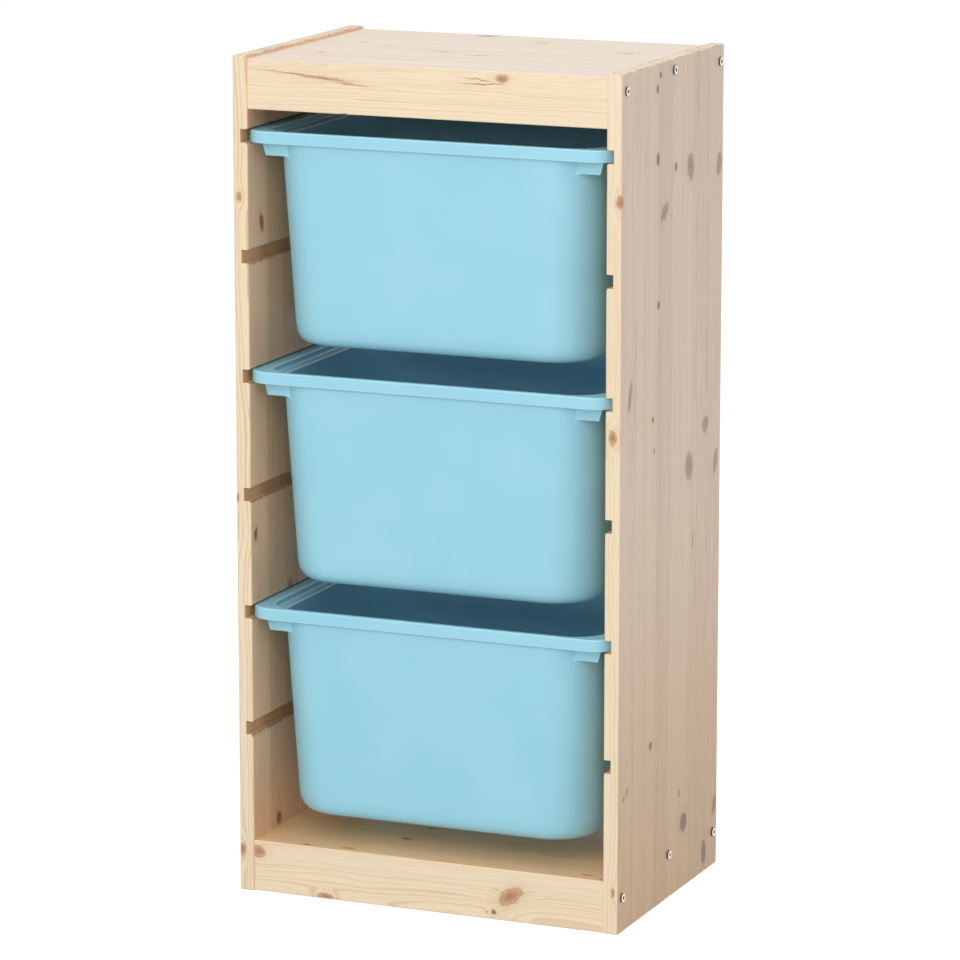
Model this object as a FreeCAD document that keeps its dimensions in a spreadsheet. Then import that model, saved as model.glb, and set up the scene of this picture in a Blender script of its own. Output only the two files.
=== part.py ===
import FreeCAD, Part
import math
import os

import Sketcher

# A pine storage frame that carries three moulded bins in grooves in its side panels.
# Millimetres, +Z up. The open front faces -Y and the right-hand side panel is at +X.
# The origin is on the floor, at the middle of the frame's footprint.

doc = FreeCAD.newDocument("toy_bin_frame")

UPWARDS = FreeCAD.Vector(0, 0, 1)
QUARTER_TURN = math.pi / 2
SAME_PLACE = 1e-4

# ---------------------------------------------------------------------------------------
# Driving sizes
# ---------------------------------------------------------------------------------------

SIZES = (
    # the frame as a whole
    ("frame_width", 440.0, "over the outer faces of the side panels"),
    ("frame_depth", 300.0, "side panel, front edge to back edge"),
    ("panel_thickness", 17.0, "side panel"),
    ("panel_round", 1.8, "eased edges of a side panel"),
    # grooves in the side panels
    ("groove_height", 14.3, "opening of one groove"),
    ("groove_depth", 8.0, "into the side panel's inner face"),
    ("groove_lip_round", 1.6, "eased lips of a groove"),
    # rails and boards
    ("rail_thickness", 22.0, "front to back"),
    ("rail_setback", 1.5, "from the side panel's edge to the rail's face"),
    ("rail_round", 1.5, "eased long edges on the rail's outer face"),
    ("top_rail_height", 53.5, "upper rails"),
    ("bottom_rail_height", 56.5, "lower rails"),
    ("bottom_rail_lift", 0.5, "lower rails above the floor"),
    ("top_drop", 3.0, "upper surface of the top below the ends of the side panels"),
    ("board_thickness", 17.0, "top board and bottom board"),
    # room round the bins
    ("floor_gap", 29.6, "lowest bin above the bottom board"),
    ("bin_gap", 27.2, "between one bin and the next"),
    ("head_gap", 22.5, "highest bin below the upper rails"),
    ("rim_side_play", 1.0, "rim to groove floor, each side"),
    ("rim_top_play", 1.3, "rim to the groove's upper face"),
    ("rim_inset", 0.5, "rim behind the side panels' front edges"),
    # a bin
    ("bin_height", 230.0, "underside of the tub to the top of the rim"),
    ("bin_wall", 2.2, "moulded wall, everywhere"),
    ("rim_corner", 27.0, "rim's corners in plan"),
    ("rim_edge_round", 0.9, "upper and lower edges of the rim"),
    ("side_skirt_gap", 14.6, "hollow in the rim's left and right sides, skirt to mouth wall"),
    ("front_skirt_gap", 1.6, "hollow in the rim's front and back, skirt to mouth wall"),
    ("mouth_corner", 38.0, "corners of the mouth in plan"),
    ("mouth_edge_round", 0.9, "upper edge of the mouth"),
    ("ledge_rise", 5.6, "ledge inside the mouth, above the underside of the rim"),
    ("side_ledge", 10.2, "ledge left and right, mouth wall to tub"),
    ("front_ledge", 0.2, "ledge front and back, mouth wall to tub"),
    ("tub_corner", 49.0, "tub's corners in plan, at the top"),
    ("foot_corner", 56.0, "tub's corners in plan, at the foot"),
    ("side_lean", 8.0, "tub's left and right walls, in by this much at the foot"),
    ("front_lean", 13.4, "tub's front and back walls, in by this much at the foot"),
    ("tub_foot_round", 20.0, "round between the tub's walls and its underside"),
    ("web_setback", 16.0, "end webs behind the rim's front face"),
    ("web_drop", 14.6, "end webs below the rim"),
    ("web_slant", 2.5, "web's outer edge leans in by this much towards its foot"),
    ("slot_inset", 2.0, "slot under each ledge, clear of the tub's wall"),
    # screws
    ("screw_head_diameter", 10.0, "flat head"),
    ("screw_head_height", 2.0, "head proud of the side panel"),
    ("screw_head_bevel", 0.6, "head's bevelled edge"),
    ("screw_diameter", 5.0, "shank"),
    ("screw_length", 50.0, "under the head"),
    ("screw_point", 4.0, "length of the point"),
    ("screw_point_diameter", 1.2, "flat at the end of the point"),
    ("socket_across_flats", 4.0, "hexagon socket"),
    ("socket_depth", 2.4, "hexagon socket"),
    ("screw_panel_play", 0.5, "hole in the panel wider than the shank"),
    ("screw_pilot_play", 0.1, "pilot hole wider than the shank"),
    ("screw_end_play", 2.0, "pilot hole beyond the point"),
    ("top_screw_drop", 15.0, "upper rails' screws below the rail's upper face"),
    ("bottom_screw_drop", 19.0, "lower rails' screws below the rail's upper face"),
    # dowels
    ("dowel_diameter", 8.0, "wooden pin"),
    ("dowel_length", 30.0, "wooden pin"),
    ("dowel_bevel", 1.0, "bevelled ends"),
    ("dowel_play", 0.1, "hole wider than the dowel"),
    ("dowel_end_play", 1.0, "hole deeper than the dowel, at each end"),
    ("dowel_cover", 6.0, "wood left between a dowel hole and the panel's outer face"),
    ("dowel_below_screw", 23.0, "in the end of a rail"),
    ("board_dowel_spread", 140.0, "between the two dowels in a board's end"),
)

sheet = doc.addObject("Spreadsheet::Sheet", "dims")
for row, (alias, size, note) in enumerate(SIZES, start=1):
    sheet.set(f"A{row}", alias)
    sheet.set(f"B{row}", str(size))
    sheet.set(f"C{row}", note)
    sheet.setAlias(f"B{row}", alias)
doc.recompute()

# The bins, from the floor up. Deep bins hang two grooves apart, so that a shallow bin can
# take the groove between them, and the same spare groove lies below the lowest bin.
BINS = ("bottom_bin", "middle_bin", "top_bin")
GROOVES_PER_BIN = 2
GROOVE_COUNT = GROOVES_PER_BIN * len(BINS)

# ---------------------------------------------------------------------------------------
# Places and sizes that follow from the driving ones
# ---------------------------------------------------------------------------------------

INNER_WIDTH = "(dims.frame_width - 2 * dims.panel_thickness)"
RAIL_FACE = "(dims.frame_depth / 2 - dims.rail_setback)"
RAIL_MIDDLE = f"({RAIL_FACE} - dims.rail_thickness / 2)"
BOARD_DEPTH = f"(2 * ({RAIL_FACE} - dims.rail_thickness))"

RIM_HEIGHT = "(dims.groove_height - dims.rim_top_play)"
RIM_WIDTH = f"({INNER_WIDTH} + 2 * dims.groove_depth - 2 * dims.rim_side_play)"
RIM_DEPTH = "(dims.frame_depth - 2 * dims.rim_inset)"

BOTTOM_TOP = "(dims.bottom_rail_lift + dims.bottom_rail_height)"
LOWEST_BIN = f"({BOTTOM_TOP} + dims.floor_gap + dims.bin_height - {RIM_HEIGHT})"
BIN_SPACING = "(dims.bin_height + dims.bin_gap)"
GROOVE_PITCH = f"({BIN_SPACING} / {GROOVES_PER_BIN})"
LOWEST_GROOVE = f"({LOWEST_BIN} - {GROOVE_PITCH})"
HIGHEST_BIN_TOP = f"({LOWEST_BIN} + {len(BINS) - 1} * {BIN_SPACING} + {RIM_HEIGHT})"
TOP_RAIL_FOOT = f"({HIGHEST_BIN_TOP} + dims.head_gap)"
TOP_TOP = f"({TOP_RAIL_FOOT} + dims.top_rail_height)"
FRAME_HEIGHT = f"({TOP_TOP} + dims.top_drop)"

SCREW_IN_RAIL = "(dims.screw_length - dims.panel_thickness)"
PANEL_HOLE = "((dims.screw_diameter + dims.screw_panel_play) / 2)"
PILOT_HOLE = "((dims.screw_diameter + dims.screw_pilot_play) / 2)"
DOWEL_HOLE = "((dims.dowel_diameter + dims.dowel_play) / 2)"
PANEL_DOWEL_DEPTH = "(dims.panel_thickness - dims.dowel_cover)"
DOWEL_IN_PANEL = f"({PANEL_DOWEL_DEPTH} - dims.dowel_end_play)"
DOWEL_IN_RAIL = f"(dims.dowel_length - {DOWEL_IN_PANEL})"

MOUTH_WIDTH = f"({RIM_WIDTH} - 2 * (2 * dims.bin_wall + dims.side_skirt_gap))"
MOUTH_DEPTH = f"({RIM_DEPTH} - 2 * (2 * dims.bin_wall + dims.front_skirt_gap))"
HOLLOW_WIDTH = f"({MOUTH_WIDTH} - 2 * dims.side_ledge)"
HOLLOW_DEPTH = f"({MOUTH_DEPTH} - 2 * dims.front_ledge)"
TUB_WIDTH = f"({HOLLOW_WIDTH} + 2 * dims.bin_wall)"
TUB_DEPTH = f"({HOLLOW_DEPTH} + 2 * dims.bin_wall)"
FOOT_WIDTH = f"({TUB_WIDTH} - 2 * dims.side_lean)"
FOOT_DEPTH = f"({TUB_DEPTH} - 2 * dims.front_lean)"


def value_of(expression):
    """The number that an expression over the driving sizes comes to."""
    return float(sheet.evalExpression(expression))


# ---------------------------------------------------------------------------------------
# Sketches
# ---------------------------------------------------------------------------------------

def plane_of(body, role):
    """One of the body's own three origin planes."""
    return [feature for feature in body.Origin.OriginFeatures if feature.Role == role][0]


def sketch_on(body, role, name, offset="0"):
    """A sketch on an origin plane of the body, moved along that plane's normal."""
    sketch = body.newObject("Sketcher::SketchObject", name)
    sketch.AttachmentSupport = [(plane_of(body, role), "")]
    sketch.MapMode = "FlatFace"
    sketch.setExpression("AttachmentOffset.Base.z", offset)
    return sketch


def bind(sketch, constraint, expression):
    """Add a constraint and drive its size with an expression."""
    index = sketch.addConstraint(constraint)
    sketch.setExpression(f"Constraints[{index}]", expression)


def hold_point(sketch, geometry, end, across, up):
    """Fix one end of a line or arc at a place measured from the sketch's origin."""
    origin = (-1, 1)
    bind(sketch, Sketcher.Constraint("DistanceX", *origin, geometry, end, value_of(across)), across)
    bind(sketch, Sketcher.Constraint("DistanceY", *origin, geometry, end, value_of(up)), up)


def draw_polygon(sketch, corners):
    """A closed outline of straight lines through corners given as pairs of expressions."""
    points = [FreeCAD.Vector(value_of(across), value_of(up), 0) for across, up in corners]
    count = len(points)
    lines = []
    for start in range(count):
        line = Part.LineSegment(points[start], points[(start + 1) % count])
        lines.append(sketch.addGeometry(line, False))
    for start in range(count):
        following = lines[(start + 1) % count]
        sketch.addConstraint(Sketcher.Constraint("Coincident", lines[start], 2, following, 1))
    for line, (across, up) in zip(lines, corners):
        hold_point(sketch, line, 1, across, up)


def draw_circle(sketch, across, up, radius):
    """A circle with its centre and radius given as expressions."""
    centre = FreeCAD.Vector(value_of(across), value_of(up), 0)
    circle = sketch.addGeometry(Part.Circle(centre, UPWARDS, value_of(radius)), False)
    bind(sketch, Sketcher.Constraint("Radius", circle, value_of(radius)), radius)
    hold_point(sketch, circle, 3, across, up)


def draw_rounded_rectangle(sketch, width, depth, corner):
    """A rectangle about the sketch's origin with round corners. Its sizes are expressions."""
    half_width = value_of(width) / 2
    half_depth = value_of(depth) / 2
    radius = value_of(corner)
    flat_x = half_width - radius
    flat_y = half_depth - radius
    sides = (
        ((-flat_x, -half_depth), (flat_x, -half_depth), (flat_x, -flat_y), -1),
        ((half_width, -flat_y), (half_width, flat_y), (flat_x, flat_y), 0),
        ((flat_x, half_depth), (-flat_x, half_depth), (-flat_x, flat_y), 1),
        ((-half_width, flat_y), (-half_width, -flat_y), (-flat_x, -flat_y), 2),
    )
    lines = []
    arcs = []
    for start, end, centre, turns in sides:
        line = Part.LineSegment(FreeCAD.Vector(*start, 0), FreeCAD.Vector(*end, 0))
        circle = Part.Circle(FreeCAD.Vector(*centre, 0), UPWARDS, radius)
        arc = Part.ArcOfCircle(circle, turns * QUARTER_TURN, (turns + 1) * QUARTER_TURN)
        lines.append(sketch.addGeometry(line, False))
        arcs.append(sketch.addGeometry(arc, False))
    for side in range(4):
        sketch.addConstraint(Sketcher.Constraint("Tangent", lines[side], 2, arcs[side], 1))
        sketch.addConstraint(Sketcher.Constraint("Tangent", arcs[side], 2, lines[(side + 1) % 4], 1))
    bottom, right, top, left = lines
    sketch.addConstraint(Sketcher.Constraint("Horizontal", bottom))
    sketch.addConstraint(Sketcher.Constraint("Horizontal", top))
    sketch.addConstraint(Sketcher.Constraint("Vertical", right))
    sketch.addConstraint(Sketcher.Constraint("Vertical", left))
    for arc in arcs[1:]:
        sketch.addConstraint(Sketcher.Constraint("Equal", arcs[0], arc))
    sketch.addConstraint(Sketcher.Constraint("Symmetric", bottom, 1, top, 1, -1, 1))
    bind(sketch, Sketcher.Constraint("Radius", arcs[0], radius), corner)
    bind(sketch, Sketcher.Constraint("DistanceX", left, 1, right, 1, 2 * half_width), width)
    bind(sketch, Sketcher.Constraint("DistanceY", bottom, 1, top, 1, 2 * half_depth), depth)


# ---------------------------------------------------------------------------------------
# Features
# ---------------------------------------------------------------------------------------

def new_body(label):
    """An empty body whose label names the piece."""
    body = doc.addObject("PartDesign::Body", label)
    body.Label = label
    return body


def place(body, turn, **coordinates):
    """Turn the body about the upright axis and hold its origin at the places given."""
    body.Placement = FreeCAD.Placement(FreeCAD.Vector(), FreeCAD.Rotation(UPWARDS, turn))
    for axis, expression in coordinates.items():
        body.setExpression(f"Placement.Base.{axis}", expression)


def finish_feature(body, feature, grows):
    """Make the feature the body's tip and make sure that it added or took away material."""
    before = body.Shape.Volume if not body.Shape.isNull() else 0.0
    body.Tip = feature
    doc.recompute()
    change = body.Shape.Volume - before
    if (change > 0) != grows or abs(change) < 1e-6:
        raise RuntimeError(f"{body.Label}: {feature.Name} changed the volume by {change:.3f} mm3")
    return feature


def pad(body, sketch, length, backwards=False, both_ways=False):
    """Raise a sketch into material."""
    feature = body.newObject("PartDesign::Pad", sketch.Name + "_pad")
    feature.Profile = sketch
    feature.Reversed = backwards
    feature.SideType = "Symmetric" if both_ways else "One side"
    feature.setExpression("Length", length)
    sketch.Visibility = False
    return finish_feature(body, feature, grows=True)


def pocket(body, sketch, depth, backwards=False, both_ways=False):
    """Cut a sketch away to a depth, or right through where no depth is given."""
    feature = body.newObject("PartDesign::Pocket", sketch.Name + "_pocket")
    feature.Profile = sketch
    feature.Reversed = backwards
    feature.SideType = "Symmetric" if both_ways else "One side"
    if depth is None:
        feature.Type = "ThroughAll"
    else:
        feature.setExpression("Length", depth)
    sketch.Visibility = False
    return finish_feature(body, feature, grows=False)


def loft(body, upper, lower, grows):
    """Join two sketches with straight-sided walls, as material or as a hollow."""
    kind = "Additive" if grows else "Subtractive"
    feature = body.newObject(f"PartDesign::{kind}Loft", upper.Name + "_loft")
    feature.Profile = upper
    feature.Sections = [lower]
    feature.Ruled = True
    upper.Visibility = False
    lower.Visibility = False
    return finish_feature(body, feature, grows)


def mirror(body, original, role, grows):
    """Repeat a feature on the other side of an origin plane of the body."""
    feature = body.newObject("PartDesign::Mirrored", original.Name + "_mirrored")
    feature.Originals = [original]
    feature.MirrorPlane = (plane_of(body, role), [""])
    return finish_feature(body, feature, grows)


def edge_names(feature, wanted):
    """The names of those edges of a feature that pass the test."""
    return [f"Edge{number}" for number, edge in enumerate(feature.Shape.Edges, start=1) if wanted(edge)]


def ease(body, base, wanted, radius, name, grows=False):
    """Round those edges of a feature that pass the test."""
    feature = body.newObject("PartDesign::Fillet", name)
    feature.Base = (base, edge_names(base, wanted))
    feature.setExpression("Radius", radius)
    return finish_feature(body, feature, grows)


def lies_at(edge, level):
    """Whether an edge lies flat at a height in the body's own frame."""
    box = edge.BoundBox
    return abs(box.ZMin - level) < SAME_PLACE and abs(box.ZMax - level) < SAME_PLACE


# ---------------------------------------------------------------------------------------
# Where the screws and dowels go: across the depth, and up from the floor
# ---------------------------------------------------------------------------------------

RAIL_SIDES = {"front": f"(-1 * {RAIL_MIDDLE})", "back": RAIL_MIDDLE}
BOARD_DOWELS = {"front": "(-0.5 * dims.board_dowel_spread)", "back": "(0.5 * dims.board_dowel_spread)"}

# For each level: its upper face, its rails' height and underside, and its rails' screws
# below that upper face.
LEVELS = {
    "top": (TOP_TOP, "dims.top_rail_height", TOP_RAIL_FOOT, "dims.top_screw_drop"),
    "bottom": (BOTTOM_TOP, "dims.bottom_rail_height", "dims.bottom_rail_lift", "dims.bottom_screw_drop"),
}

SCREW_PLACES = {}
DOWEL_PLACES = {}
for level, (upper_face, rail_height, rail_foot, screw_drop) in LEVELS.items():
    board_middle = f"({upper_face} - dims.board_thickness / 2)"
    rail_screw = f"({upper_face} - {screw_drop})"
    for side, across in RAIL_SIDES.items():
        SCREW_PLACES[f"{side}_{level}_rail"] = (across, rail_screw)
        DOWEL_PLACES[f"{side}_{level}_rail"] = (across, f"({rail_screw} - dims.dowel_below_screw)")
    SCREW_PLACES[f"{level}_board"] = ("0", board_middle)
    for side, across in BOARD_DOWELS.items():
        DOWEL_PLACES[f"{level}_board_{side}"] = (across, board_middle)


# ---------------------------------------------------------------------------------------
# Side panels
# ---------------------------------------------------------------------------------------

def draw_groove(sketch, level):
    """A groove's section, open towards the sketch's upright axis, with eased lips."""
    foot = value_of(level)
    depth = value_of("dims.groove_depth")
    height = value_of("dims.groove_height")
    lip = value_of("dims.groove_lip_round")
    head = foot + height

    def line(x0, y0, x1, y1):
        straight = Part.LineSegment(FreeCAD.Vector(x0, y0, 0), FreeCAD.Vector(x1, y1, 0))
        return sketch.addGeometry(straight, False)

    def arc(x, y, turns):
        circle = Part.Circle(FreeCAD.Vector(x, y, 0), UPWARDS, lip)
        quarter = Part.ArcOfCircle(circle, turns * QUARTER_TURN, (turns + 1) * QUARTER_TURN)
        return sketch.addGeometry(quarter, False)

    lower_face = line(lip, foot, depth, foot)
    floor = line(depth, foot, depth, head)
    upper_face = line(depth, head, lip, head)
    mouth = line(0, head + lip, 0, foot - lip)
    lower_lip = arc(lip, foot - lip, 1)
    upper_lip = arc(lip, head + lip, 2)

    sketch.addConstraint(Sketcher.Constraint("Coincident", lower_face, 2, floor, 1))
    sketch.addConstraint(Sketcher.Constraint("Coincident", floor, 2, upper_face, 1))
    sketch.addConstraint(Sketcher.Constraint("Tangent", lower_lip, 1, lower_face, 1))
    sketch.addConstraint(Sketcher.Constraint("Tangent", lower_lip, 2, mouth, 2))
    sketch.addConstraint(Sketcher.Constraint("Tangent", upper_lip, 1, mouth, 1))
    sketch.addConstraint(Sketcher.Constraint("Tangent", upper_lip, 2, upper_face, 2))
    sketch.addConstraint(Sketcher.Constraint("Horizontal", lower_face))
    sketch.addConstraint(Sketcher.Constraint("Horizontal", upper_face))
    sketch.addConstraint(Sketcher.Constraint("Vertical", floor))
    sketch.addConstraint(Sketcher.Constraint("Vertical", mouth))
    sketch.addConstraint(Sketcher.Constraint("PointOnObject", mouth, 1, -2))
    sketch.addConstraint(Sketcher.Constraint("Equal", lower_lip, upper_lip))
    bind(sketch, Sketcher.Constraint("Radius", lower_lip, lip), "dims.groove_lip_round")
    bind(sketch, Sketcher.Constraint("DistanceY", floor, 1, floor, 2, height), "dims.groove_height")
    hold_point(sketch, floor, 1, "dims.groove_depth", level)


def side_panel(label, turn, across):
    """A panel with its grooved face at X = 0 in its own frame. The left one is the same, turned."""
    body = new_body(label)
    outline = sketch_on(body, "YZ_Plane", label + "_outline")
    front = "(-0.5 * dims.frame_depth)"
    back = "(0.5 * dims.frame_depth)"
    draw_polygon(outline, ((front, "0"), (back, "0"), (back, FRAME_HEIGHT), (front, FRAME_HEIGHT)))
    slab = pad(body, outline, "dims.panel_thickness")
    ease(body, slab, lambda edge: True, "dims.panel_round", label + "_eased")

    section = sketch_on(body, "XZ_Plane", label + "_groove")
    draw_groove(section, LOWEST_GROOVE)
    groove = pocket(body, section, None, both_ways=True)
    grooves = body.newObject("PartDesign::LinearPattern", label + "_grooves")
    grooves.Originals = [groove]
    grooves.Direction = (section, ["V_Axis"])
    grooves.Occurrences = GROOVE_COUNT
    grooves.setExpression("Length", f"{GROOVE_COUNT - 1} * {GROOVE_PITCH}")
    finish_feature(body, grooves, grows=False)

    screw_holes = sketch_on(body, "YZ_Plane", label + "_screw_holes")
    for y, z in SCREW_PLACES.values():
        draw_circle(screw_holes, y, z, PANEL_HOLE)
    pocket(body, screw_holes, None, backwards=True)
    dowel_holes = sketch_on(body, "YZ_Plane", label + "_dowel_holes")
    for y, z in DOWEL_PLACES.values():
        draw_circle(dowel_holes, y, z, DOWEL_HOLE)
    pocket(body, dowel_holes, PANEL_DOWEL_DEPTH, backwards=True)
    place(body, turn, x=across)
    return body


# ---------------------------------------------------------------------------------------
# Rails and boards
# ---------------------------------------------------------------------------------------

def drill_ends(body, label, screws, dowels):
    """Pilot holes and dowel holes in both ends of a member that spans the frame."""
    drillings = (
        ("pilot_holes", screws, PILOT_HOLE, f"{SCREW_IN_RAIL} + dims.screw_end_play"),
        ("dowel_holes", dowels, DOWEL_HOLE, f"{DOWEL_IN_RAIL} + dims.dowel_end_play"),
    )
    for name, places, radius, depth in drillings:
        sketch = sketch_on(body, "YZ_Plane", f"{label}_{name}", f"{INNER_WIDTH} / 2")
        for y, z in places:
            draw_circle(sketch, y, z, radius)
        holes = pocket(body, sketch, depth)
        mirror(body, holes, "YZ_Plane", grows=False)


def rail(label, height, screw_drop, turn, across, foot):
    """A rail with its outer face at Y = 0 and its foot at Z = 0 in its own frame."""
    body = new_body(label)
    thickness = "dims.rail_thickness"
    middle = "(dims.rail_thickness / 2)"
    outline = sketch_on(body, "YZ_Plane", label + "_outline")
    draw_polygon(outline, (("0", "0"), (thickness, "0"), (thickness, height), ("0", height)))
    bar = pad(body, outline, INNER_WIDTH, both_ways=True)

    def is_outer_arris(edge):
        box = edge.BoundBox
        return abs(box.YMax) < SAME_PLACE and box.XLength > SAME_PLACE

    ease(body, bar, is_outer_arris, "dims.rail_round", label + "_eased")
    screw_rise = f"({height} - {screw_drop})"
    dowel_rise = f"({screw_rise} - dims.dowel_below_screw)"
    drill_ends(body, label, [(middle, screw_rise)], [(middle, dowel_rise)])
    place(body, turn, y=across, z=foot)
    return body


def board(label, upper_face):
    """A board between the front and back rails, with its upper face at Z = 0 in its own frame."""
    body = new_body(label)
    front = f"(-0.5 * {BOARD_DEPTH})"
    back = f"(0.5 * {BOARD_DEPTH})"
    foot = "(-1 * dims.board_thickness)"
    outline = sketch_on(body, "YZ_Plane", label + "_outline")
    draw_polygon(outline, ((front, foot), (back, foot), (back, "0"), (front, "0")))
    pad(body, outline, INNER_WIDTH, both_ways=True)
    middle = "(-0.5 * dims.board_thickness)"
    drill_ends(body, label, [("0", middle)], [(across, middle) for across in BOARD_DOWELS.values()])
    place(body, 0, z=upper_face)
    return body


# ---------------------------------------------------------------------------------------
# Bins
# ---------------------------------------------------------------------------------------

def storage_bin(label, height):
    """A bin with the underside of its rim at Z = 0 in its own frame."""
    body = new_body(label)
    rim_top = value_of(RIM_HEIGHT)
    foot = rim_top - value_of("dims.bin_height")
    floor = foot + value_of("dims.bin_wall")

    def reaches_past(edge, width, depth):
        box = edge.BoundBox
        past_side = max(abs(box.XMin), abs(box.XMax)) > value_of(width) / 2 + SAME_PLACE
        past_front = max(abs(box.YMin), abs(box.YMax)) > value_of(depth) / 2 + SAME_PLACE
        return past_side or past_front

    # The tub, solid at first: its walls lean in and its corners open out towards its foot.
    tub_outline = sketch_on(body, "XY_Plane", label + "_tub", RIM_HEIGHT)
    draw_rounded_rectangle(tub_outline, TUB_WIDTH, TUB_DEPTH, "dims.tub_corner")
    foot_outline = sketch_on(body, "XY_Plane", label + "_foot", f"{RIM_HEIGHT} - dims.bin_height")
    draw_rounded_rectangle(foot_outline, FOOT_WIDTH, FOOT_DEPTH, "dims.foot_corner")
    loft(body, tub_outline, foot_outline, grows=True)

    # The rim stands out all round it.
    rim_outline = sketch_on(body, "XY_Plane", label + "_rim")
    draw_rounded_rectangle(rim_outline, RIM_WIDTH, RIM_DEPTH, "dims.rim_corner")
    rim = pad(body, rim_outline, RIM_HEIGHT)

    def is_rim_edge(edge):
        return (lies_at(edge, 0) or lies_at(edge, rim_top)) and reaches_past(edge, TUB_WIDTH, TUB_DEPTH)

    ease(body, rim, is_rim_edge, "dims.rim_edge_round", label + "_rim_edges")

    # End webs brace the rim's sides against the tub, front and back.
    web_outline = sketch_on(body, "XZ_Plane", label + "_web", f"{RIM_DEPTH} / 2 - dims.web_setback")
    web_reach = f"({MOUTH_WIDTH} / 2 + dims.bin_wall)"
    foot_reach = f"({web_reach} - dims.web_slant)"
    low = "(-1 * dims.web_drop)"
    left_corners = ((f"(-1 * {web_reach})", "0"), (f"(-1 * {foot_reach})", low))
    right_corners = ((foot_reach, low), (web_reach, "0"))
    draw_polygon(web_outline, left_corners + right_corners)
    web = pad(body, web_outline, "dims.bin_wall", backwards=True)
    mirror(body, web, "XZ_Plane", grows=True)

    # The mouth is wider than the tub, which leaves a ledge on the left and right.
    mouth_outline = sketch_on(body, "XY_Plane", label + "_mouth", RIM_HEIGHT)
    draw_rounded_rectangle(mouth_outline, MOUTH_WIDTH, MOUTH_DEPTH, "dims.mouth_corner")
    mouth = pocket(body, mouth_outline, f"{RIM_HEIGHT} - dims.ledge_rise")

    def is_mouth_edge(edge):
        return lies_at(edge, rim_top) and not reaches_past(edge, MOUTH_WIDTH, MOUTH_DEPTH)

    ease(body, mouth, is_mouth_edge, "dims.mouth_edge_round", label + "_mouth_edge")

    # The tub's hollow, one wall thickness inside it, with the foot rounded inside and out.
    hollow_outline = sketch_on(body, "XY_Plane", label + "_hollow", RIM_HEIGHT)
    draw_rounded_rectangle(hollow_outline, HOLLOW_WIDTH, HOLLOW_DEPTH, "dims.tub_corner - dims.bin_wall")
    floor_level = f"{RIM_HEIGHT} - dims.bin_height + dims.bin_wall"
    floor_outline = sketch_on(body, "XY_Plane", label + "_floor", floor_level)
    floor_width = f"({FOOT_WIDTH} - 2 * dims.bin_wall)"
    floor_depth = f"({FOOT_DEPTH} - 2 * dims.bin_wall)"
    draw_rounded_rectangle(floor_outline, floor_width, floor_depth, "dims.foot_corner - dims.bin_wall")
    hollow = loft(body, hollow_outline, floor_outline, grows=False)

    def is_inner_foot(edge):
        return lies_at(edge, floor)

    def is_outer_foot(edge):
        return lies_at(edge, foot)

    inner_round = "dims.tub_foot_round - dims.bin_wall"
    rounded = ease(body, hollow, is_inner_foot, inner_round, label + "_inner_foot", grows=True)
    ease(body, rounded, is_outer_foot, "dims.tub_foot_round", label + "_outer_foot")

    # The rim is a downturned lip, hollow underneath between its skirt and the mouth's wall.
    skirt_outline = sketch_on(body, "XY_Plane", label + "_skirt")
    skirt_width = f"({RIM_WIDTH} - 2 * dims.bin_wall)"
    skirt_depth = f"({RIM_DEPTH} - 2 * dims.bin_wall)"
    draw_rounded_rectangle(skirt_outline, skirt_width, skirt_depth, "dims.rim_corner - dims.bin_wall")
    wall_width = f"({MOUTH_WIDTH} + 2 * dims.bin_wall)"
    wall_depth = f"({MOUTH_DEPTH} + 2 * dims.bin_wall)"
    draw_rounded_rectangle(skirt_outline, wall_width, wall_depth, "dims.mouth_corner + dims.bin_wall")
    pocket(body, skirt_outline, f"{RIM_HEIGHT} - dims.bin_wall", backwards=True)

    # A slot under each ledge keeps the ledge as thin as the walls.
    slot_outline = sketch_on(body, "XY_Plane", label + "_slots")
    near = f"({TUB_WIDTH} / 2 + dims.slot_inset)"
    far = f"({MOUTH_WIDTH} / 2)"
    end = f"({TUB_DEPTH} / 2 - dims.tub_corner)"
    start = f"(-1 * {end})"
    draw_polygon(slot_outline, ((near, start), (far, start), (far, end), (near, end)))
    slot = pocket(body, slot_outline, "dims.ledge_rise - dims.bin_wall", backwards=True)
    mirror(body, slot, "YZ_Plane", grows=False)
    place(body, 0, z=height)
    return body


# ---------------------------------------------------------------------------------------
# Screws and dowels
# ---------------------------------------------------------------------------------------

def screw(label, turn, across, y, z):
    """A flat-headed screw along X, with the underside of its head at X = 0 in its own frame."""
    body = new_body(label)
    profile = sketch_on(body, "XZ_Plane", label + "_profile")
    shank = "(dims.screw_diameter / 2)"
    head = "(dims.screw_head_diameter / 2)"
    tip = "(-1 * dims.screw_length)"
    bevel = "dims.screw_head_bevel"
    corners = (
        (tip, "0"),
        (tip, "(dims.screw_point_diameter / 2)"),
        (f"({tip} + dims.screw_point)", shank),
        ("0", shank),
        ("0", head),
        (f"(dims.screw_head_height - {bevel})", head),
        ("dims.screw_head_height", f"({head} - {bevel})"),
        ("dims.screw_head_height", "0"),
    )
    draw_polygon(profile, corners)
    turned = body.newObject("PartDesign::Revolution", label + "_turned")
    turned.Profile = profile
    turned.ReferenceAxis = (profile, ["H_Axis"])
    turned.Angle = 360
    finish_feature(body, turned, grows=True)

    socket = sketch_on(body, "YZ_Plane", label + "_socket", "dims.screw_head_height")
    corner_reach = "dims.socket_across_flats / sqrt(3)"
    angles = range(0, 360, 60)
    draw_polygon(socket, [(f"({corner_reach} * cos({a}))", f"({corner_reach} * sin({a}))") for a in angles])
    pocket(body, socket, "dims.socket_depth")
    place(body, turn, x=across, y=y, z=z)
    return body


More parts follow.
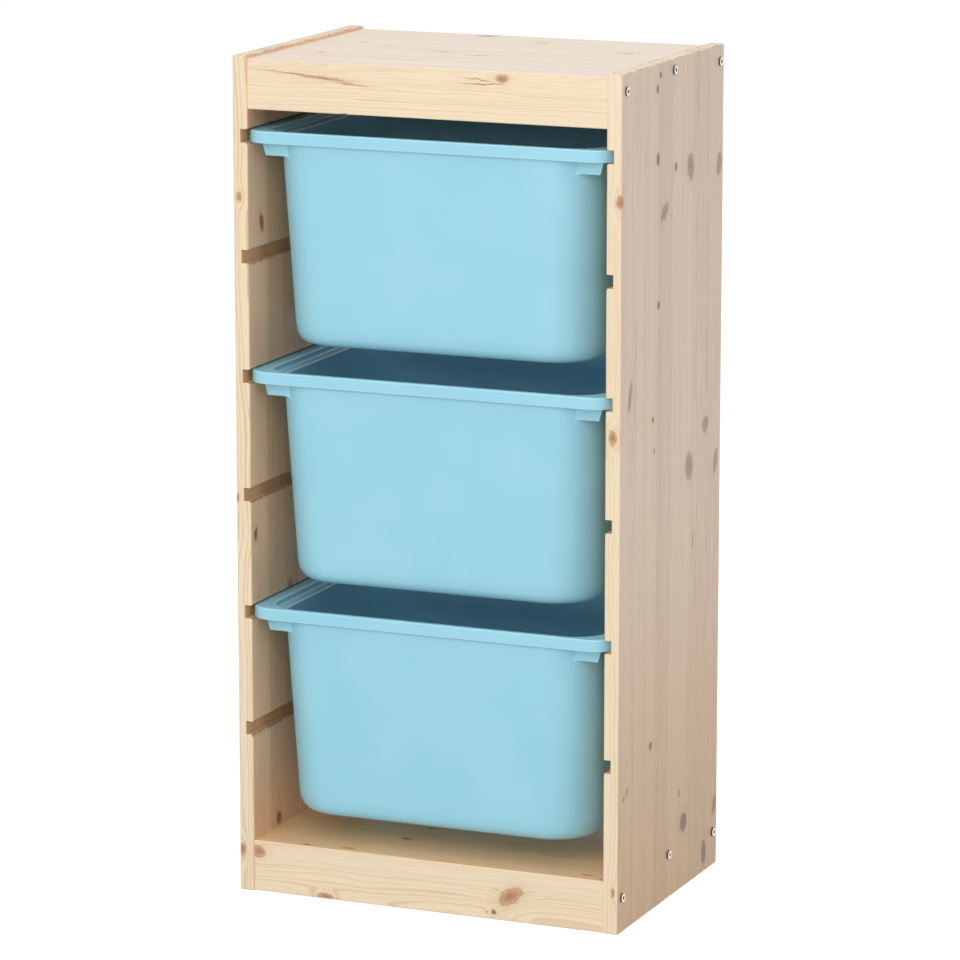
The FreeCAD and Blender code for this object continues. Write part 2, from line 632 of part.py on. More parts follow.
def dowel(label, turn, across, y, z):
    """A wooden pin along X, with the joint that it bridges at X = 0 in its own frame."""
    body = new_body(label)
    section = sketch_on(body, "YZ_Plane", label + "_section", f"-1 * {DOWEL_IN_RAIL}")
    draw_circle(section, "0", "0", "(dims.dowel_diameter / 2)")
    pin = pad(body, section, "dims.dowel_length")
    bevel = body.newObject("PartDesign::Chamfer", label + "_bevel")
    bevel.Base = (pin, edge_names(pin, lambda edge: edge.BoundBox.XLength < SAME_PLACE))
    bevel.setExpression("Size", "dims.dowel_bevel")
    finish_feature(body, bevel, grows=False)
    place(body, turn, x=across, y=y, z=z)
    return body


# ---------------------------------------------------------------------------------------
# The whole object
# ---------------------------------------------------------------------------------------

pieces = []
HANDS = {"left": (180, "-1"), "right": (0, "1")}
for hand, (turn, sign) in HANDS.items():
    pieces.append(side_panel(f"{hand}_side_panel", turn, f"{sign} * {INNER_WIDTH} / 2"))

for level, (upper_face, rail_height, rail_foot, screw_drop) in LEVELS.items():
    pieces.append(board(f"{level}_board", upper_face))
    for side, (turn, across) in {"front": (0, f"-1 * {RAIL_FACE}"), "back": (180, RAIL_FACE)}.items():
        pieces.append(rail(f"{side}_{level}_rail", rail_height, screw_drop, turn, across, rail_foot))

for number, label in enumerate(BINS):
    pieces.append(storage_bin(label, f"{LOWEST_BIN} + {number} * {BIN_SPACING}"))

for hand, (turn, sign) in HANDS.items():
    for name, (y, z) in SCREW_PLACES.items():
        pieces.append(screw(f"{hand}_screw_{name}", turn, f"{sign} * dims.frame_width / 2", y, z))
    for name, (y, z) in DOWEL_PLACES.items():
        pieces.append(dowel(f"{hand}_dowel_{name}", turn, f"{sign} * {INNER_WIDTH} / 2", y, z))

doc.recompute()

for item in doc.Objects:
    if "Invalid" in item.State or "Error" in item.State:
        raise RuntimeError(f"{item.Label} failed: {item.State}")
for piece in pieces:
    if piece.Shape.isNull() or not piece.Shape.isValid():
        raise RuntimeError(f"{piece.Label} has no valid shape")

os.makedirs("parts", exist_ok=True)
for piece in pieces:
    piece.Shape.exportStep(f"parts/{piece.Label}.step")
    box = piece.Shape.optimalBoundingBox()
    print(f"{piece.Label}: {box.XLength:.2f} x {box.YLength:.2f} x {box.ZLength:.2f} mm")
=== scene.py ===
# %% [markdown]
# # A pine storage frame with three moulded bins
#
# This lesson dresses a finished construction model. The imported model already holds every
# board, bin, screw and dowel at its true size and place. What Blender adds is what the eye
# needs to believe it: grain and knots in the pine, a satin skin on the plastic, turned and
# threaded steel, and soft light.

# %% Load the construction model
import math

import bmesh
import bpy
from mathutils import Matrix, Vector


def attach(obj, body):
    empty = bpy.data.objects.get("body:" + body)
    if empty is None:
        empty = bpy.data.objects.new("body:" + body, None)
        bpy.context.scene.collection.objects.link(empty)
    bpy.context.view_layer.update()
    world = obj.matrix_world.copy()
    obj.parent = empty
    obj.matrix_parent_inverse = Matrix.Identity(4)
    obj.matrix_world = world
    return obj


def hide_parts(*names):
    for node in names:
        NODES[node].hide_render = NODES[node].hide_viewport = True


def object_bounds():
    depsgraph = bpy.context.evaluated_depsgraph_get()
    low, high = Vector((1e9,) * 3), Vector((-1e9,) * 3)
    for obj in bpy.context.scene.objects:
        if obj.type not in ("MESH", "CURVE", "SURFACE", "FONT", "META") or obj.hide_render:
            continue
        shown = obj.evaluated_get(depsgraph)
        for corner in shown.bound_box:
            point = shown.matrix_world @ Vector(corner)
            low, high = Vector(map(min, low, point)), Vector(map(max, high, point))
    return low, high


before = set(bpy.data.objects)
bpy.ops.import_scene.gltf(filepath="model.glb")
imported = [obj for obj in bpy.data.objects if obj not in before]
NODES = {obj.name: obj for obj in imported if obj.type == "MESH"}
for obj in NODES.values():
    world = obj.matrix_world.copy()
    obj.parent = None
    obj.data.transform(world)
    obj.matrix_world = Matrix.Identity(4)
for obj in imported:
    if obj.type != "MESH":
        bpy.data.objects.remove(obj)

MM = 0.001
CAD_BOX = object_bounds()
print(f"{len(NODES)} pieces, {(CAD_BOX[1] - CAD_BOX[0]) / MM} mm over all")

# %% [markdown]
# ## Where the photographer stands
#
# A product photographer backs far away and uses a long lens, so that upright edges stay
# almost parallel. The camera looks at the front from the right-hand side and from a little
# above, so the front, the right side and the top all show.

# %% Camera
SENSOR_WIDTH = 36.0
LENS = 184.17
CAMERA_PLACE = (2.0199, -4.7790, 1.5275)
CAMERA_LEAN = 0.206      # radians below the horizon
CAMERA_TURN = 0.400      # radians to the left, about the upright axis

camera = bpy.data.objects.new("camera", bpy.data.cameras.new("camera"))
camera.data.sensor_width = SENSOR_WIDTH
camera.data.lens = LENS
camera.location = CAMERA_PLACE
camera.rotation_euler = (math.pi / 2 - CAMERA_LEAN, 0.0, CAMERA_TURN)
bpy.context.scene.collection.objects.link(camera)
bpy.context.scene.camera = camera
bpy.context.scene.view_settings.view_transform = "Standard"
print(f"camera with a {LENS:.0f} mm lens, {camera.location.length:.2f} m from the frame")

# %% [markdown]
# ## Writing shader maths as sums
#
# A material is a tree of nodes. Drawn as boxes and wires, a long sum hides what it says, so
# one small class wraps a socket: adding or multiplying two of them adds the Math node and
# gives back its output.

# %% A socket that can be used in sums
class Signal:
    """An output socket in a finish. Sums on it add Math nodes to the tree."""

    def __init__(self, finish, socket):
        self.finish = finish
        self.socket = socket

    def _math(self, operation, *values):
        return self.finish.node("ShaderNodeMath", {"operation": operation}, dict(enumerate(values)))

    def __add__(self, other):
        return self._math("ADD", self, other)

    def __radd__(self, other):
        return self._math("ADD", other, self)

    def __sub__(self, other):
        return self._math("SUBTRACT", self, other)

    def __rsub__(self, other):
        return self._math("SUBTRACT", other, self)

    def __mul__(self, other):
        return self._math("MULTIPLY", self, other)

    def __rmul__(self, other):
        return self._math("MULTIPLY", other, self)

    def __truediv__(self, other):
        return self._math("DIVIDE", self, other)

    def __gt__(self, other):
        return self._math("GREATER_THAN", self, other)

    def least(self, other):
        return self._math("MINIMUM", self, other)

    def most(self, other):
        return self._math("MAXIMUM", self, other)

    def fraction(self):
        return self._math("FRACT", self)

    def whole(self):
        return self._math("FLOOR", self)

    def size(self):
        return self._math("ABSOLUTE", self)

    def root(self):
        return self._math("SQRT", self)

    def wave(self):
        return self._math("SINE", self)

    def fade(self):
        """1 at zero, dying away as the signal grows."""
        return self._math("EXPONENT", self * -1.0)

    def rise(self, start, end):
        """0 below the start and 1 above the end, with a smooth step between."""
        settings = {"interpolation_type": "SMOOTHSTEP"}
        inputs = {"Value": self, "From Min": start, "From Max": end}
        return self.finish.node("ShaderNodeMapRange", settings, inputs)

    def fall(self, start, end):
        """1 below the start and 0 above the end, with a smooth step between."""
        return 1.0 - self.rise(start, end)


# %% [markdown]
# Every other node comes from one method, which takes the node's type, its settings and what
# goes into its sockets. Distances are in millimetres from here on, because that is how a
# maker thinks of grain and wear.

# %% A material to build in
class Finish:
    """A material whose nodes are added one by one and end in one Principled shader."""

    def __init__(self, name):
        self.material = bpy.data.materials.new(name)
        self.material.use_nodes = True
        self.tree = self.material.node_tree
        self.tree.nodes.clear()
        metres = self.node("ShaderNodeTexCoord", output="Object")
        self.place = self.stretch(metres, 1000.0, 1000.0, 1000.0)
        self.facing = self.node("ShaderNodeTexCoord", output="Normal")

    def node(self, kind, settings=None, inputs=None, output=0):
        """Add a node, make its settings, fill or link its sockets, and give back one output."""
        node = self.tree.nodes.new(kind)
        for name, value in (settings or {}).items():
            setattr(node, name, value)
        for name, value in (inputs or {}).items():
            if isinstance(value, Signal):
                self.tree.links.new(value.socket, node.inputs[name])
            else:
                node.inputs[name].default_value = value
        return Signal(self, node.outputs[output])

    def parts(self, vector):
        """The three coordinates of a vector, as three signals."""
        split = self.node("ShaderNodeSeparateXYZ", None, {0: vector}).socket.node
        return [Signal(self, output) for output in split.outputs]

    def point(self, x, y, z):
        return self.node("ShaderNodeCombineXYZ", None, {0: x, 1: y, 2: z})

    def stretch(self, vector, x, y, z):
        settings = {"operation": "MULTIPLY"}
        return self.node("ShaderNodeVectorMath", settings, {0: vector, 1: (x, y, z)})

    def shift(self, vector, other):
        return self.node("ShaderNodeVectorMath", {"operation": "ADD"}, {0: vector, 1: other})

    def speckle(self, vector, scale, detail=2.0, output=0):
        """Soft noise about 0.5, with so many features to the millimetre."""
        inputs = {"Vector": vector, "Scale": scale, "Detail": detail}
        return self.node("ShaderNodeTexNoise", None, inputs, output)

    def blend(self, amount, under, over, how="MIX"):
        """One colour laid over another by an amount between 0 and 1."""
        settings = {"data_type": "RGBA", "blend_type": how}
        return self.node("ShaderNodeMix", settings, {0: amount, 6: under, 7: over}, output=2)

    def relief(self, height, depth):
        """The normal of a surface whose height signal spans a depth in millimetres."""
        return self.node("ShaderNodeBump", None, {"Height": height, "Distance": depth * MM})

    def close(self, inputs):
        """End the tree in a Principled shader with these sockets filled."""
        shader = self.node("ShaderNodeBsdfPrincipled", None, inputs)
        end = self.tree.nodes.new("ShaderNodeOutputMaterial")
        self.tree.links.new(shader.socket, end.inputs["Surface"])
        return self.material


def paint(piece, material):
    """Give a piece one material all over."""
    piece.data.materials.clear()
    piece.data.materials.append(material)


# %% [markdown]
# ## Pine
#
# A tree grows a cone of pale wood each spring and a thin dark skin on it each summer. A saw
# cuts a board out of that stack of cones. So the grain is worked out in three dimensions,
# as the distance from the tree's pith, and the same sum then gives long lines on a face,
# pointed arches where the saw runs close to the pith, and arcs on the end of a board.
#
# A knot is a branch that the tree grew round. The rings swell round it, its own rings are
# tight and dark, and a warm stain surrounds it. A side panel is glued up from upright
# staves, each from another part of a tree, with a hair-thin glue line between them.

# %% Knots
THROUGH = 1000.0         # a knot this deep goes right through its board


def panel_knot(y, z, wide, tall, lean=0.0):
    """A knot that goes through a side panel. Sizes in millimetres, lean in degrees."""
    return (0.0, y, z), (THROUGH, wide / 2, tall / 2), (lean, 0.0, 0.0)


def rail_knot(x, z, wide, tall, lean=0.0):
    """A knot that goes through a rail from front to back."""
    return (x, 0.0, z), (wide / 2, THROUGH, tall / 2), (0.0, lean, 0.0)


def board_knot(x, y, wide, deep, lean=0.0):
    """A knot that goes down through a board."""
    return (x, y, 0.0), (wide / 2, deep / 2, THROUGH), (0.0, 0.0, lean)


def spot(x, y, z, wide, deep, tall):
    """A small knot that one face or edge cuts across."""
    return (x, y, z), (wide / 2, deep / 2, tall / 2), (0.0, 0.0, 0.0)


def nearest_knot(finish, place, knots):
    """How far a point lies from the nearest knot: 1 at a knot's edge, and less inside it."""
    nearest = None
    for centre, halves, leans in knots:
        turn = tuple(math.radians(lean) for lean in leans)
        inputs = {"Vector": place, "Location": centre, "Rotation": turn, "Scale": halves}
        local = finish.node("ShaderNodeMapping", {"vector_type": "TEXTURE"}, inputs)
        distance = finish.node("ShaderNodeVectorMath", {"operation": "LENGTH"}, {0: local}, output=1)
        nearest = distance if nearest is None else nearest.least(distance)
    return nearest


# %% Growth rings
# Which way the grain, the width and the thickness of a kind of board run: 0 is X, 1 is Y, 2 is Z.
PANEL = (2, 1, 0)
RAIL = (0, 2, 1)
BOARD = (0, 1, 2)


def stepped(steps, values):
    """A signal that changes from one value to the next at each step."""
    signal = values[0]
    for step, before, after in zip(steps, values, values[1:]):
        if after != before:
            signal = signal + step * (after - before)
    return signal


def squared_distance(first, second):
    return first * first + second * second


def ring_phase(finish, along, across, through, staves, steps, swell):
    """How many rings out from the pith a point lies. Its whole part counts the rings."""
    pith_across, pith_depth, ring_gap, drift = (
        stepped(steps, values) for values in zip(*staves)
    )
    slow = finish.point(along * 0.0035, stepped(steps, [7.0 * n for n in range(len(staves))]), 0.0)
    wander = finish.parts(finish.speckle(slow, 1.0, output=1))
    sideways = across - pith_across + (wander[0] - 0.5) * 16.0
    depth = through - pith_depth + (wander[1] - 0.5) * 14.0 + along * drift
    radius = squared_distance(sideways, depth).root()
    crooked = finish.speckle(finish.point(along * 0.012, across * 0.05, through * 0.05), 1.0)
    years = finish.speckle(finish.point(radius * 0.09, along * 0.0006, 3.0), 1.0, 3.0)
    return (radius + swell) / ring_gap + (crooked - 0.5) * 1.1 + (years - 0.5) * 7.0


# %% [markdown]
# The colours are those of clear-lacquered pine: cream spring wood, straw-coloured summer
# wood, and knots from fox red to dark brown. Wood that was cut across its fibres, in the
# grooves and on the ends of the panels, drinks more lacquer, so it is darker and rougher.

# %% The pine finish
SPRING_WOOD = (0.845, 0.715, 0.520, 1.0)
SUMMER_WOOD = (0.66, 0.45, 0.24, 1.0)
PINK_WOOD = (0.80, 0.62, 0.45, 1.0)
RESIN = (0.74, 0.45, 0.20, 1.0)
CUT_ACROSS = (0.97, 0.90, 0.80, 1.0)
END_SPECKS = (0.46, 0.26, 0.12, 1.0)
GLUE_LINE = (0.42, 0.27, 0.15, 1.0)
STAVE_TONE = (0.90, 0.855, 0.83, 1.0)
DARK_KNOT = (0.150, 0.062, 0.030, 1.0)
FOX_KNOT = (0.40, 0.165, 0.070, 1.0)
PAINTED_SHADE_KNOT = (0.30, 0.160, 0.085, 1.0)
KNOT_RIM = (0.10, 0.045, 0.022, 1.0)
KNOT_STAIN = (0.62, 0.36, 0.17, 1.0)
PAINTED_SHADE_STAIN = (0.62, 0.47, 0.35, 1.0)

# How a knot looks: its heart, the stain round it, how far out the heart's colour holds, how
# strong the knot is, and how dark its rim is.
DARK = (DARK_KNOT, KNOT_STAIN, 0.60, 0.88, 0.45)
FOX = (FOX_KNOT, KNOT_STAIN, 0.38, 0.88, 0.45)
# The next two looks are greyer, duller copies of the knot colours for the right panel's side face,
# which lies in shade: painted shade.
FOX_IN_PAINTED_SHADE = (PAINTED_SHADE_KNOT, PAINTED_SHADE_STAIN, 0.78, 0.82, 0.22)
DARK_IN_PAINTED_SHADE = (DARK_KNOT, PAINTED_SHADE_STAIN, 0.85, 1.0, 0.60)


def knot_colours(finish, wood, distance, look):
    """Lay knots over the wood: a stain that dies away, a heart with its own rings, and a dark rim."""
    heart, stain, core, strength, rim = look
    around = ((distance.most(1.0) - 1.0) * 1.9).fade()
    wood = finish.blend(around * 0.42 * strength, wood, stain)
    rings = (distance * 19.0).wave() * 0.5 + 0.5
    grit = finish.speckle(finish.stretch(finish.place, 0.8, 0.8, 0.8), 1.0, 3.0)
    inside = finish.blend(distance.fall(core, core + 0.5), stain, heart)
    inside = finish.blend(rings * grit.rise(0.3, 0.6) * 0.45, inside, stain)
    inside = finish.blend(distance.fall(0.10, 0.60) * grit.rise(0.44, 0.58) * 0.65, inside, KNOT_RIM)
    wood = finish.blend(distance.fall(0.66, 1.16) * strength, wood, inside)
    band = distance.rise(0.62, 0.90) * distance.fall(0.92, 1.15) * grit.rise(0.35, 0.6)
    return finish.blend(band * rim, wood, KNOT_RIM)


def pine(name, kind, staves, seams=(), knots=(), lines=1.0, touches=()):
    """Lacquered pine for one board, with its knots as pairs of places and look."""
    finish = Finish(name)
    place = finish.parts(finish.place)
    along, across, through = (place[axis] for axis in kind)
    steps = [across > seam for seam in seams]
    jitter = finish.speckle(finish.stretch(finish.place, 0.16, 0.16, 0.16), 1.0, 4.0, output=1)
    push = tuple(9.0 if axis == kind[0] else 3.6 for axis in range(3))
    pushed = finish.shift(finish.place, finish.stretch(jitter, *push))
    pushed = finish.shift(pushed, tuple(-0.5 * amount for amount in push))
    near = [(nearest_knot(finish, pushed, places), look) for places, look in knots if places]
    swell = 0.0
    for distance, _ in near:
        swell = swell + (distance * 0.75).fade() * 9.0

    phase = ring_phase(finish, along, across, through, staves, steps, swell)
    in_ring = phase.fraction()
    summer = in_ring.rise(0.40, 0.92) * in_ring.fall(0.93, 1.0)
    ring_number = finish.point(phase.whole(), 0.0, 0.0)
    ring_chance = finish.node("ShaderNodeTexWhiteNoise", None, {"Vector": ring_number})
    fibres = finish.speckle(finish.point(along * 0.02, across * 1.3, through * 1.3), 1.0, 3.0)
    threads = finish.speckle(finish.point(along * 0.07, across * 5.0, through * 5.0), 1.0, 2.0)
    ducts = finish.speckle(finish.point(along * 0.03, across * 1.3, through * 1.3), 1.0, 1.0)
    ducts = ducts.rise(0.68, 0.76)
    clouds = finish.speckle(finish.point(along * 0.004, across * 0.02, through * 0.02), 1.0)
    streaks = finish.speckle(finish.point(along * 0.0035, across * 0.16, through * 0.16), 1.0, 4.0)
    resin = finish.speckle(finish.point(along * 0.014, across * 0.8, through * 0.8), 1.0, 2.0)

    wood = finish.blend(clouds.rise(0.45, 0.75) * 0.5, SPRING_WOOD, PINK_WOOD)
    wood = finish.blend(summer * (ring_chance * ring_chance * 0.85 + 0.10) * lines, wood, SUMMER_WOOD)
    wood = finish.blend(streaks.rise(0.50, 0.72) * 0.45, wood, PINK_WOOD)
    wood = finish.blend(resin.rise(0.65, 0.75) * 0.48 * lines, wood, RESIN)
    wood = finish.blend((fibres - 0.5).most(0.0) * 0.8, wood, SUMMER_WOOD)
    wood = finish.blend(ducts * 0.32, wood, GLUE_LINE)
    if seams:
        wood = finish.blend(stepped(steps, (0.15, 0.75, 0.0, 0.45)), wood, STAVE_TONE, how="MULTIPLY")
        gap = None
        for seam in seams:
            reach = (across - seam).size()
            gap = reach if gap is None else gap.least(reach)
        wood = finish.blend(gap.fall(0.05, 0.60) * 0.65, wood, GLUE_LINE)
    for distance, look in near:
        wood = knot_colours(finish, wood, distance, look)

    facing = finish.parts(finish.facing)[kind[0]].size()
    end = facing.rise(0.45, 0.85)
    pores = finish.speckle(finish.stretch(finish.place, 1.1, 1.1, 1.1), 1.0, 4.0)
    wood = finish.blend(end, wood, CUT_ACROSS, how="MULTIPLY")
    wood = finish.blend(end * pores.rise(0.50, 0.66) * 0.30, wood, END_SPECKS)
    for touch in touches:
        wood = touch(finish, place, wood)

    grain_height = summer * 0.5 + threads * 0.35 + fibres * 0.35 + end * pores * 1.5
    return finish.close({
        "Base Color": wood,
        "Roughness": 0.36 + threads * 0.14 + end * 0.20 - summer * 0.05,
        "Normal": finish.relief(grain_height, 0.12),
        "Coat Weight": 0.22 - end * 0.14,
        "Coat Roughness": 0.28,
    })

# %% [markdown]
# A cutter leaves the lower lip of each groove slightly furry, where it lifts the ends of the
# fibres. The finish follows the grooves' even spacing and frays a thin dark fringe there.
#
# Some light and shade is painted into the pine as well. The faces that look into the frame are
# painted a warm tan, as painted bounce light, and the grooves are painted darker, as painted
# shade. The outer faces are painted a little lighter and rosier, as a painted sheen, and turn
# darker and browner towards the foot. The panels' top ends are painted lighter and bluer, as a
# painted sheen, and the saw has broken small brown chips out along their edges.

# %% Torn fibres, and light and shade painted on the panels
PANEL_TOP = 910.0
PANEL_MIDDLE = 212.5
LOWEST_GROOVE = 175.0
BELOW_GROOVES = 122.5    # no groove is cut below this height
GROOVE_PITCH = 128.6
GROOVE_HEIGHT = 14.3
INNER_FACE = 203.0
GROOVE_FLOOR = 211.0
# Colours multiplied in as painted light and shade: warm painted bounce light on the inner faces,
# painted shade in the grooves, a painted sheen on the outer faces and the top ends, and a browner
# foot.
PAINTED_INNER_BOUNCE = (1.12, 0.865, 0.745, 1.0)
PAINTED_GROOVE_SHADE = (0.90, 0.80, 0.70, 1.0)
PAINTED_OUTER_SHEEN = (1.06, 0.99, 1.07, 1.0)
FOOT_TONE = (0.78, 0.675, 0.47, 1.0)
PAINTED_END_SHEEN = (1.12, 1.24, 1.48, 1.0)
TORN_FIBRES = (0.24, 0.145, 0.080, 1.0)


def above_groove(z):
    """How far a height lies above the lower face of the nearest groove."""
    return (((z - LOWEST_GROOVE) / GROOVE_PITCH + 0.5).fraction() - 0.5) * GROOVE_PITCH


def torn_lips(finish, place, wood):
    """Dark, frayed fibre ends just below each groove's lower face."""
    x, y, z = place
    above = above_groove(z)
    fray = finish.speckle(finish.point(y * 0.5, z * 0.10, 0.0), 1.0, 5.0)
    length = (fray - 0.40).most(0.0) * 15.0
    reach = (above + length).rise(-0.5, 0.5) * above.fall(0.4, 1.2)
    near = (x.size() - INNER_FACE).fall(0.6, 2.2)
    return finish.blend(reach * near * (z > BELOW_GROOVES) * 0.85, wood, TORN_FIBRES)


def chipped_ends_with_painted_sheen(finish, place, wood):
    """A panel's top end: painted lighter and bluer as a painted sheen, with brown specks where the saw
    broke fibres out at its edges.
    """
    x, y, z = place
    chips = finish.speckle(finish.point(x * 0.30, y * 0.09, 0.0), 1.0, 3.0)
    top = z.rise(PANEL_TOP - 0.6, PANEL_TOP - 0.2)
    # Painted sheen: the top end is painted lighter and bluer.
    wood = finish.blend(top, wood, PAINTED_END_SHEEN, how="MULTIPLY")
    near = (x.size() - PANEL_MIDDLE).size().rise(3.5, 8.0) * z.rise(PANEL_TOP - 1.4, PANEL_TOP - 0.4)
    return finish.blend(near * chips.rise(0.50, 0.58) * 0.85, wood, END_SPECKS)


def panel_painted_light(hand):
    """Painted light and shade on a side panel, and a browner foot: hand is 1 for the right one and -1
    for the left one.
    """

    def light_and_shade(finish, place, wood):
        x, y, z = place
        sideways = finish.parts(finish.facing)[0] * hand
        inward = (sideways * -1.0).rise(0.4, 0.9)
        outward = sideways.rise(0.4, 0.9)
        above = above_groove(z)
        groove = above.rise(-0.3, 0.1) * above.fall(GROOVE_HEIGHT - 0.1, GROOVE_HEIGHT + 0.3)
        groove = groove * x.size().fall(GROOVE_FLOOR + 0.2, GROOVE_FLOOR + 0.8) * (z > BELOW_GROOVES)
        # Painted bounce light on the inner faces, painted shade in the grooves, a painted sheen on the
        # outer faces, and darker and browner towards the foot.
        wood = finish.blend(inward, wood, PAINTED_INNER_BOUNCE, how="MULTIPLY")
        wood = finish.blend(groove, wood, PAINTED_GROOVE_SHADE, how="MULTIPLY")
        wood = finish.blend(outward, wood, PAINTED_OUTER_SHEEN, how="MULTIPLY")
        return finish.blend(outward * z.fall(0.0, 520.0), wood, FOOT_TONE, how="MULTIPLY")

    return light_and_shade


def upper_face_painted_light(colour):
    """Light painted onto the upper face of a board or rail, multiplied in where the face looks up."""

    def tone(finish, place, wood):
        upper = finish.parts(finish.facing)[2].rise(0.3, 0.9)
        return finish.blend(upper, wood, colour, how="MULTIPLY")

    return tone


# %% Side panels
LEFT_PANEL_KNOTS = (
    panel_knot(-117.0, 729.0, 10.0, 21.0, 12.0),
    panel_knot(-138.4, 394.0, 9.0, 14.0),
    panel_knot(-86.0, 66.0, 13.0, 15.0),
    panel_knot(-18.0, 604.0, 16.0, 22.0, -8.0),
    panel_knot(41.0, 233.0, 12.0, 15.0),
    panel_knot(96.0, 842.0, 9.0, 12.0),
)
LEFT_PANEL_RED = (
    spot(-213.3, -150.0, 760.0, 6.0, 12.0, 9.0),
    spot(-218.5, -150.0, 435.0, 4.0, 10.0, 12.0),
    spot(-216.5, -150.0, 46.0, 8.0, 14.0, 14.0),
    panel_knot(20.0, 812.0, 22.0, 26.0, 10.0),
    panel_knot(118.0, 512.0, 26.0, 20.0, -14.0),
    panel_knot(74.0, 118.0, 24.0, 28.0),
    panel_knot(-52.0, 318.0, 14.0, 20.0),
)
RIGHT_PANEL_KNOTS = (
    panel_knot(-41.0, 897.6, 7.0, 6.5),
    panel_knot(-49.7, 883.6, 6.5, 9.5),
    panel_knot(-46.6, 810.2, 9.0, 14.0),
    panel_knot(5.9, 795.6, 7.0, 10.0),
    panel_knot(-41.9, 656.7, 8.0, 9.0),
    panel_knot(-56.5, 536.8, 5.5, 7.5),
    panel_knot(-52.2, 502.5, 3.5, 6.5),
    panel_knot(-57.4, 183.0, 9.5, 10.0),
    panel_knot(31.0, 108.6, 4.0, 10.0),
    panel_knot(44.7, 73.3, 21.0, 22.0),
    panel_knot(108.9, 22.7, 15.0, 27.0),
)
RIGHT_PANEL_RED = (
    panel_knot(50.2, 790.2, 21.0, 30.0, 8.0),
    panel_knot(136.9, 781.7, 15.0, 27.0, -14.0),
    panel_knot(-26.4, 752.6, 14.0, 27.0, -52.0),
    panel_knot(-123.4, 571.9, 9.0, 34.0, -14.0),
    panel_knot(101.4, 503.3, 20.0, 19.0),
    panel_knot(52.7, 466.3, 24.0, 31.0, 10.0),
    panel_knot(134.3, 457.3, 13.0, 29.0, -16.0),
    panel_knot(67.2, 383.2, 2.5, 26.0),
    panel_knot(-125.0, 150.4, 6.0, 11.0, -20.0),
    panel_knot(-134.8, 144.6, 6.0, 9.0, -20.0),
    panel_knot(141.0, 68.3, 14.0, 24.0, -20.0),
)
RIGHT_EDGE_KNOTS = (
    spot(218.0, -150.0, 778.9, 8.5, 10.0, 14.0),
    spot(211.5, -150.0, 533.4, 9.0, 12.0, 14.7),
    spot(214.5, -150.0, 46.2, 4.0, 10.0, 11.0),
)
# For each stave: pith across and pith depth (mm), ring gap (mm), and drift (mm per mm).
LEFT_STAVES = ((-330.0, -120.0, 3.0, 0.005), (110.0, -80.0, 2.4, -0.005), (-220.0, -60.0, 3.1, 0.006),
               (300.0, -160.0, 2.6, 0.0))
RIGHT_STAVES = ((-330.0, 60.0, 3.4, 0.004), (150.0, 40.0, 2.6, -0.004), (-190.0, 90.0, 3.2, 0.006),
                (330.0, 130.0, 3.8, -0.005))
SEAMS = {"left_side_panel": (-103.0, -36.0, 58.0), "right_side_panel": (-43.5, -6.0, 62.0)}

left_pine = pine("left_panel_pine", PANEL, LEFT_STAVES, SEAMS["left_side_panel"],
                 ((LEFT_PANEL_RED, FOX), (LEFT_PANEL_KNOTS, DARK)), 1.35,
                 (torn_lips, chipped_ends_with_painted_sheen, panel_painted_light(-1)))
# The knots on the right panel's side face take the greyer copies: painted shade.
right_pine = pine("right_panel_pine", PANEL, RIGHT_STAVES, SEAMS["right_side_panel"],
                  ((RIGHT_PANEL_RED, FOX_IN_PAINTED_SHADE), (RIGHT_PANEL_KNOTS, DARK_IN_PAINTED_SHADE), (RIGHT_EDGE_KNOTS, FOX)),
                  0.8, (torn_lips, chipped_ends_with_painted_sheen, panel_painted_light(1)))
paint(NODES["left_side_panel"], left_pine)
paint(NODES["right_side_panel"], right_pine)
for name in SEAMS:
    print(f"{name}: {len(SEAMS[name]) + 1} staves")

# %% [markdown]
# The rails and boards run across the frame, so their grain does too. Each is one board from
# its own part of a tree, and each has its own pith, ring gap and knots.

# %% Rails and boards
RAIL_FINISHES = {
    "front_top_rail": (
        (905.0, -171.0, 1.8, 0.010),
        (rail_knot(-90.9, 853.4, 6.0, 4.0),),
        (rail_knot(-112.0, 889.6, 56.0, 1.8, 4.0), rail_knot(-140.0, 893.0, 90.0, 1.1, 3.4),
         rail_knot(-84.0, 885.5, 40.0, 1.2, 3.0), rail_knot(66.0, 893.0, 46.0, 1.3, -2.0),
         rail_knot(60.0, 897.5, 30.0, 1.2, 5.0), spot(87.0, -148.5, 899.5, 15.0, 10.0, 8.0)),
    ),
    "front_bottom_rail": (
        (2.0, -184.0, 1.8, -0.012),
        (rail_knot(77.6, 8.6, 5.5, 5.0), spot(-143.3, -142.5, 57.0, 9.0, 4.0, 3.0),
         spot(177.9, -133.7, 57.0, 14.0, 3.0, 3.0), spot(201.0, -144.0, 57.0, 4.0, 4.0, 3.0)),
        (rail_knot(97.3, 28.0, 31.0, 16.0, -32.0), rail_knot(-119.2, 3.3, 19.0, 7.0),
         rail_knot(-198.0, 44.5, 16.0, 13.0), spot(-96.7, -138.0, 57.0, 15.0, 4.0, 3.0),
         rail_knot(70.3, 7.7, 3.5, 3.5)),
    ),
    "back_top_rail": (
        (840.0, 182.0, 2.6, 0.010),
        (rail_knot(128.0, 874.0, 9.0, 7.0),),
        (spot(-48.7, 134.4, 907.0, 25.0, 15.0, 8.0), rail_knot(-121.0, 883.0, 22.0, 15.0, 12.0)),
    ),
    "back_bottom_rail": (
        (70.0, 190.0, 2.4, -0.010),
        (rail_knot(-52.0, 31.0, 8.0, 6.0),),
        (rail_knot(41.0, 22.0, 18.0, 13.0, 10.0),),
    ),
}
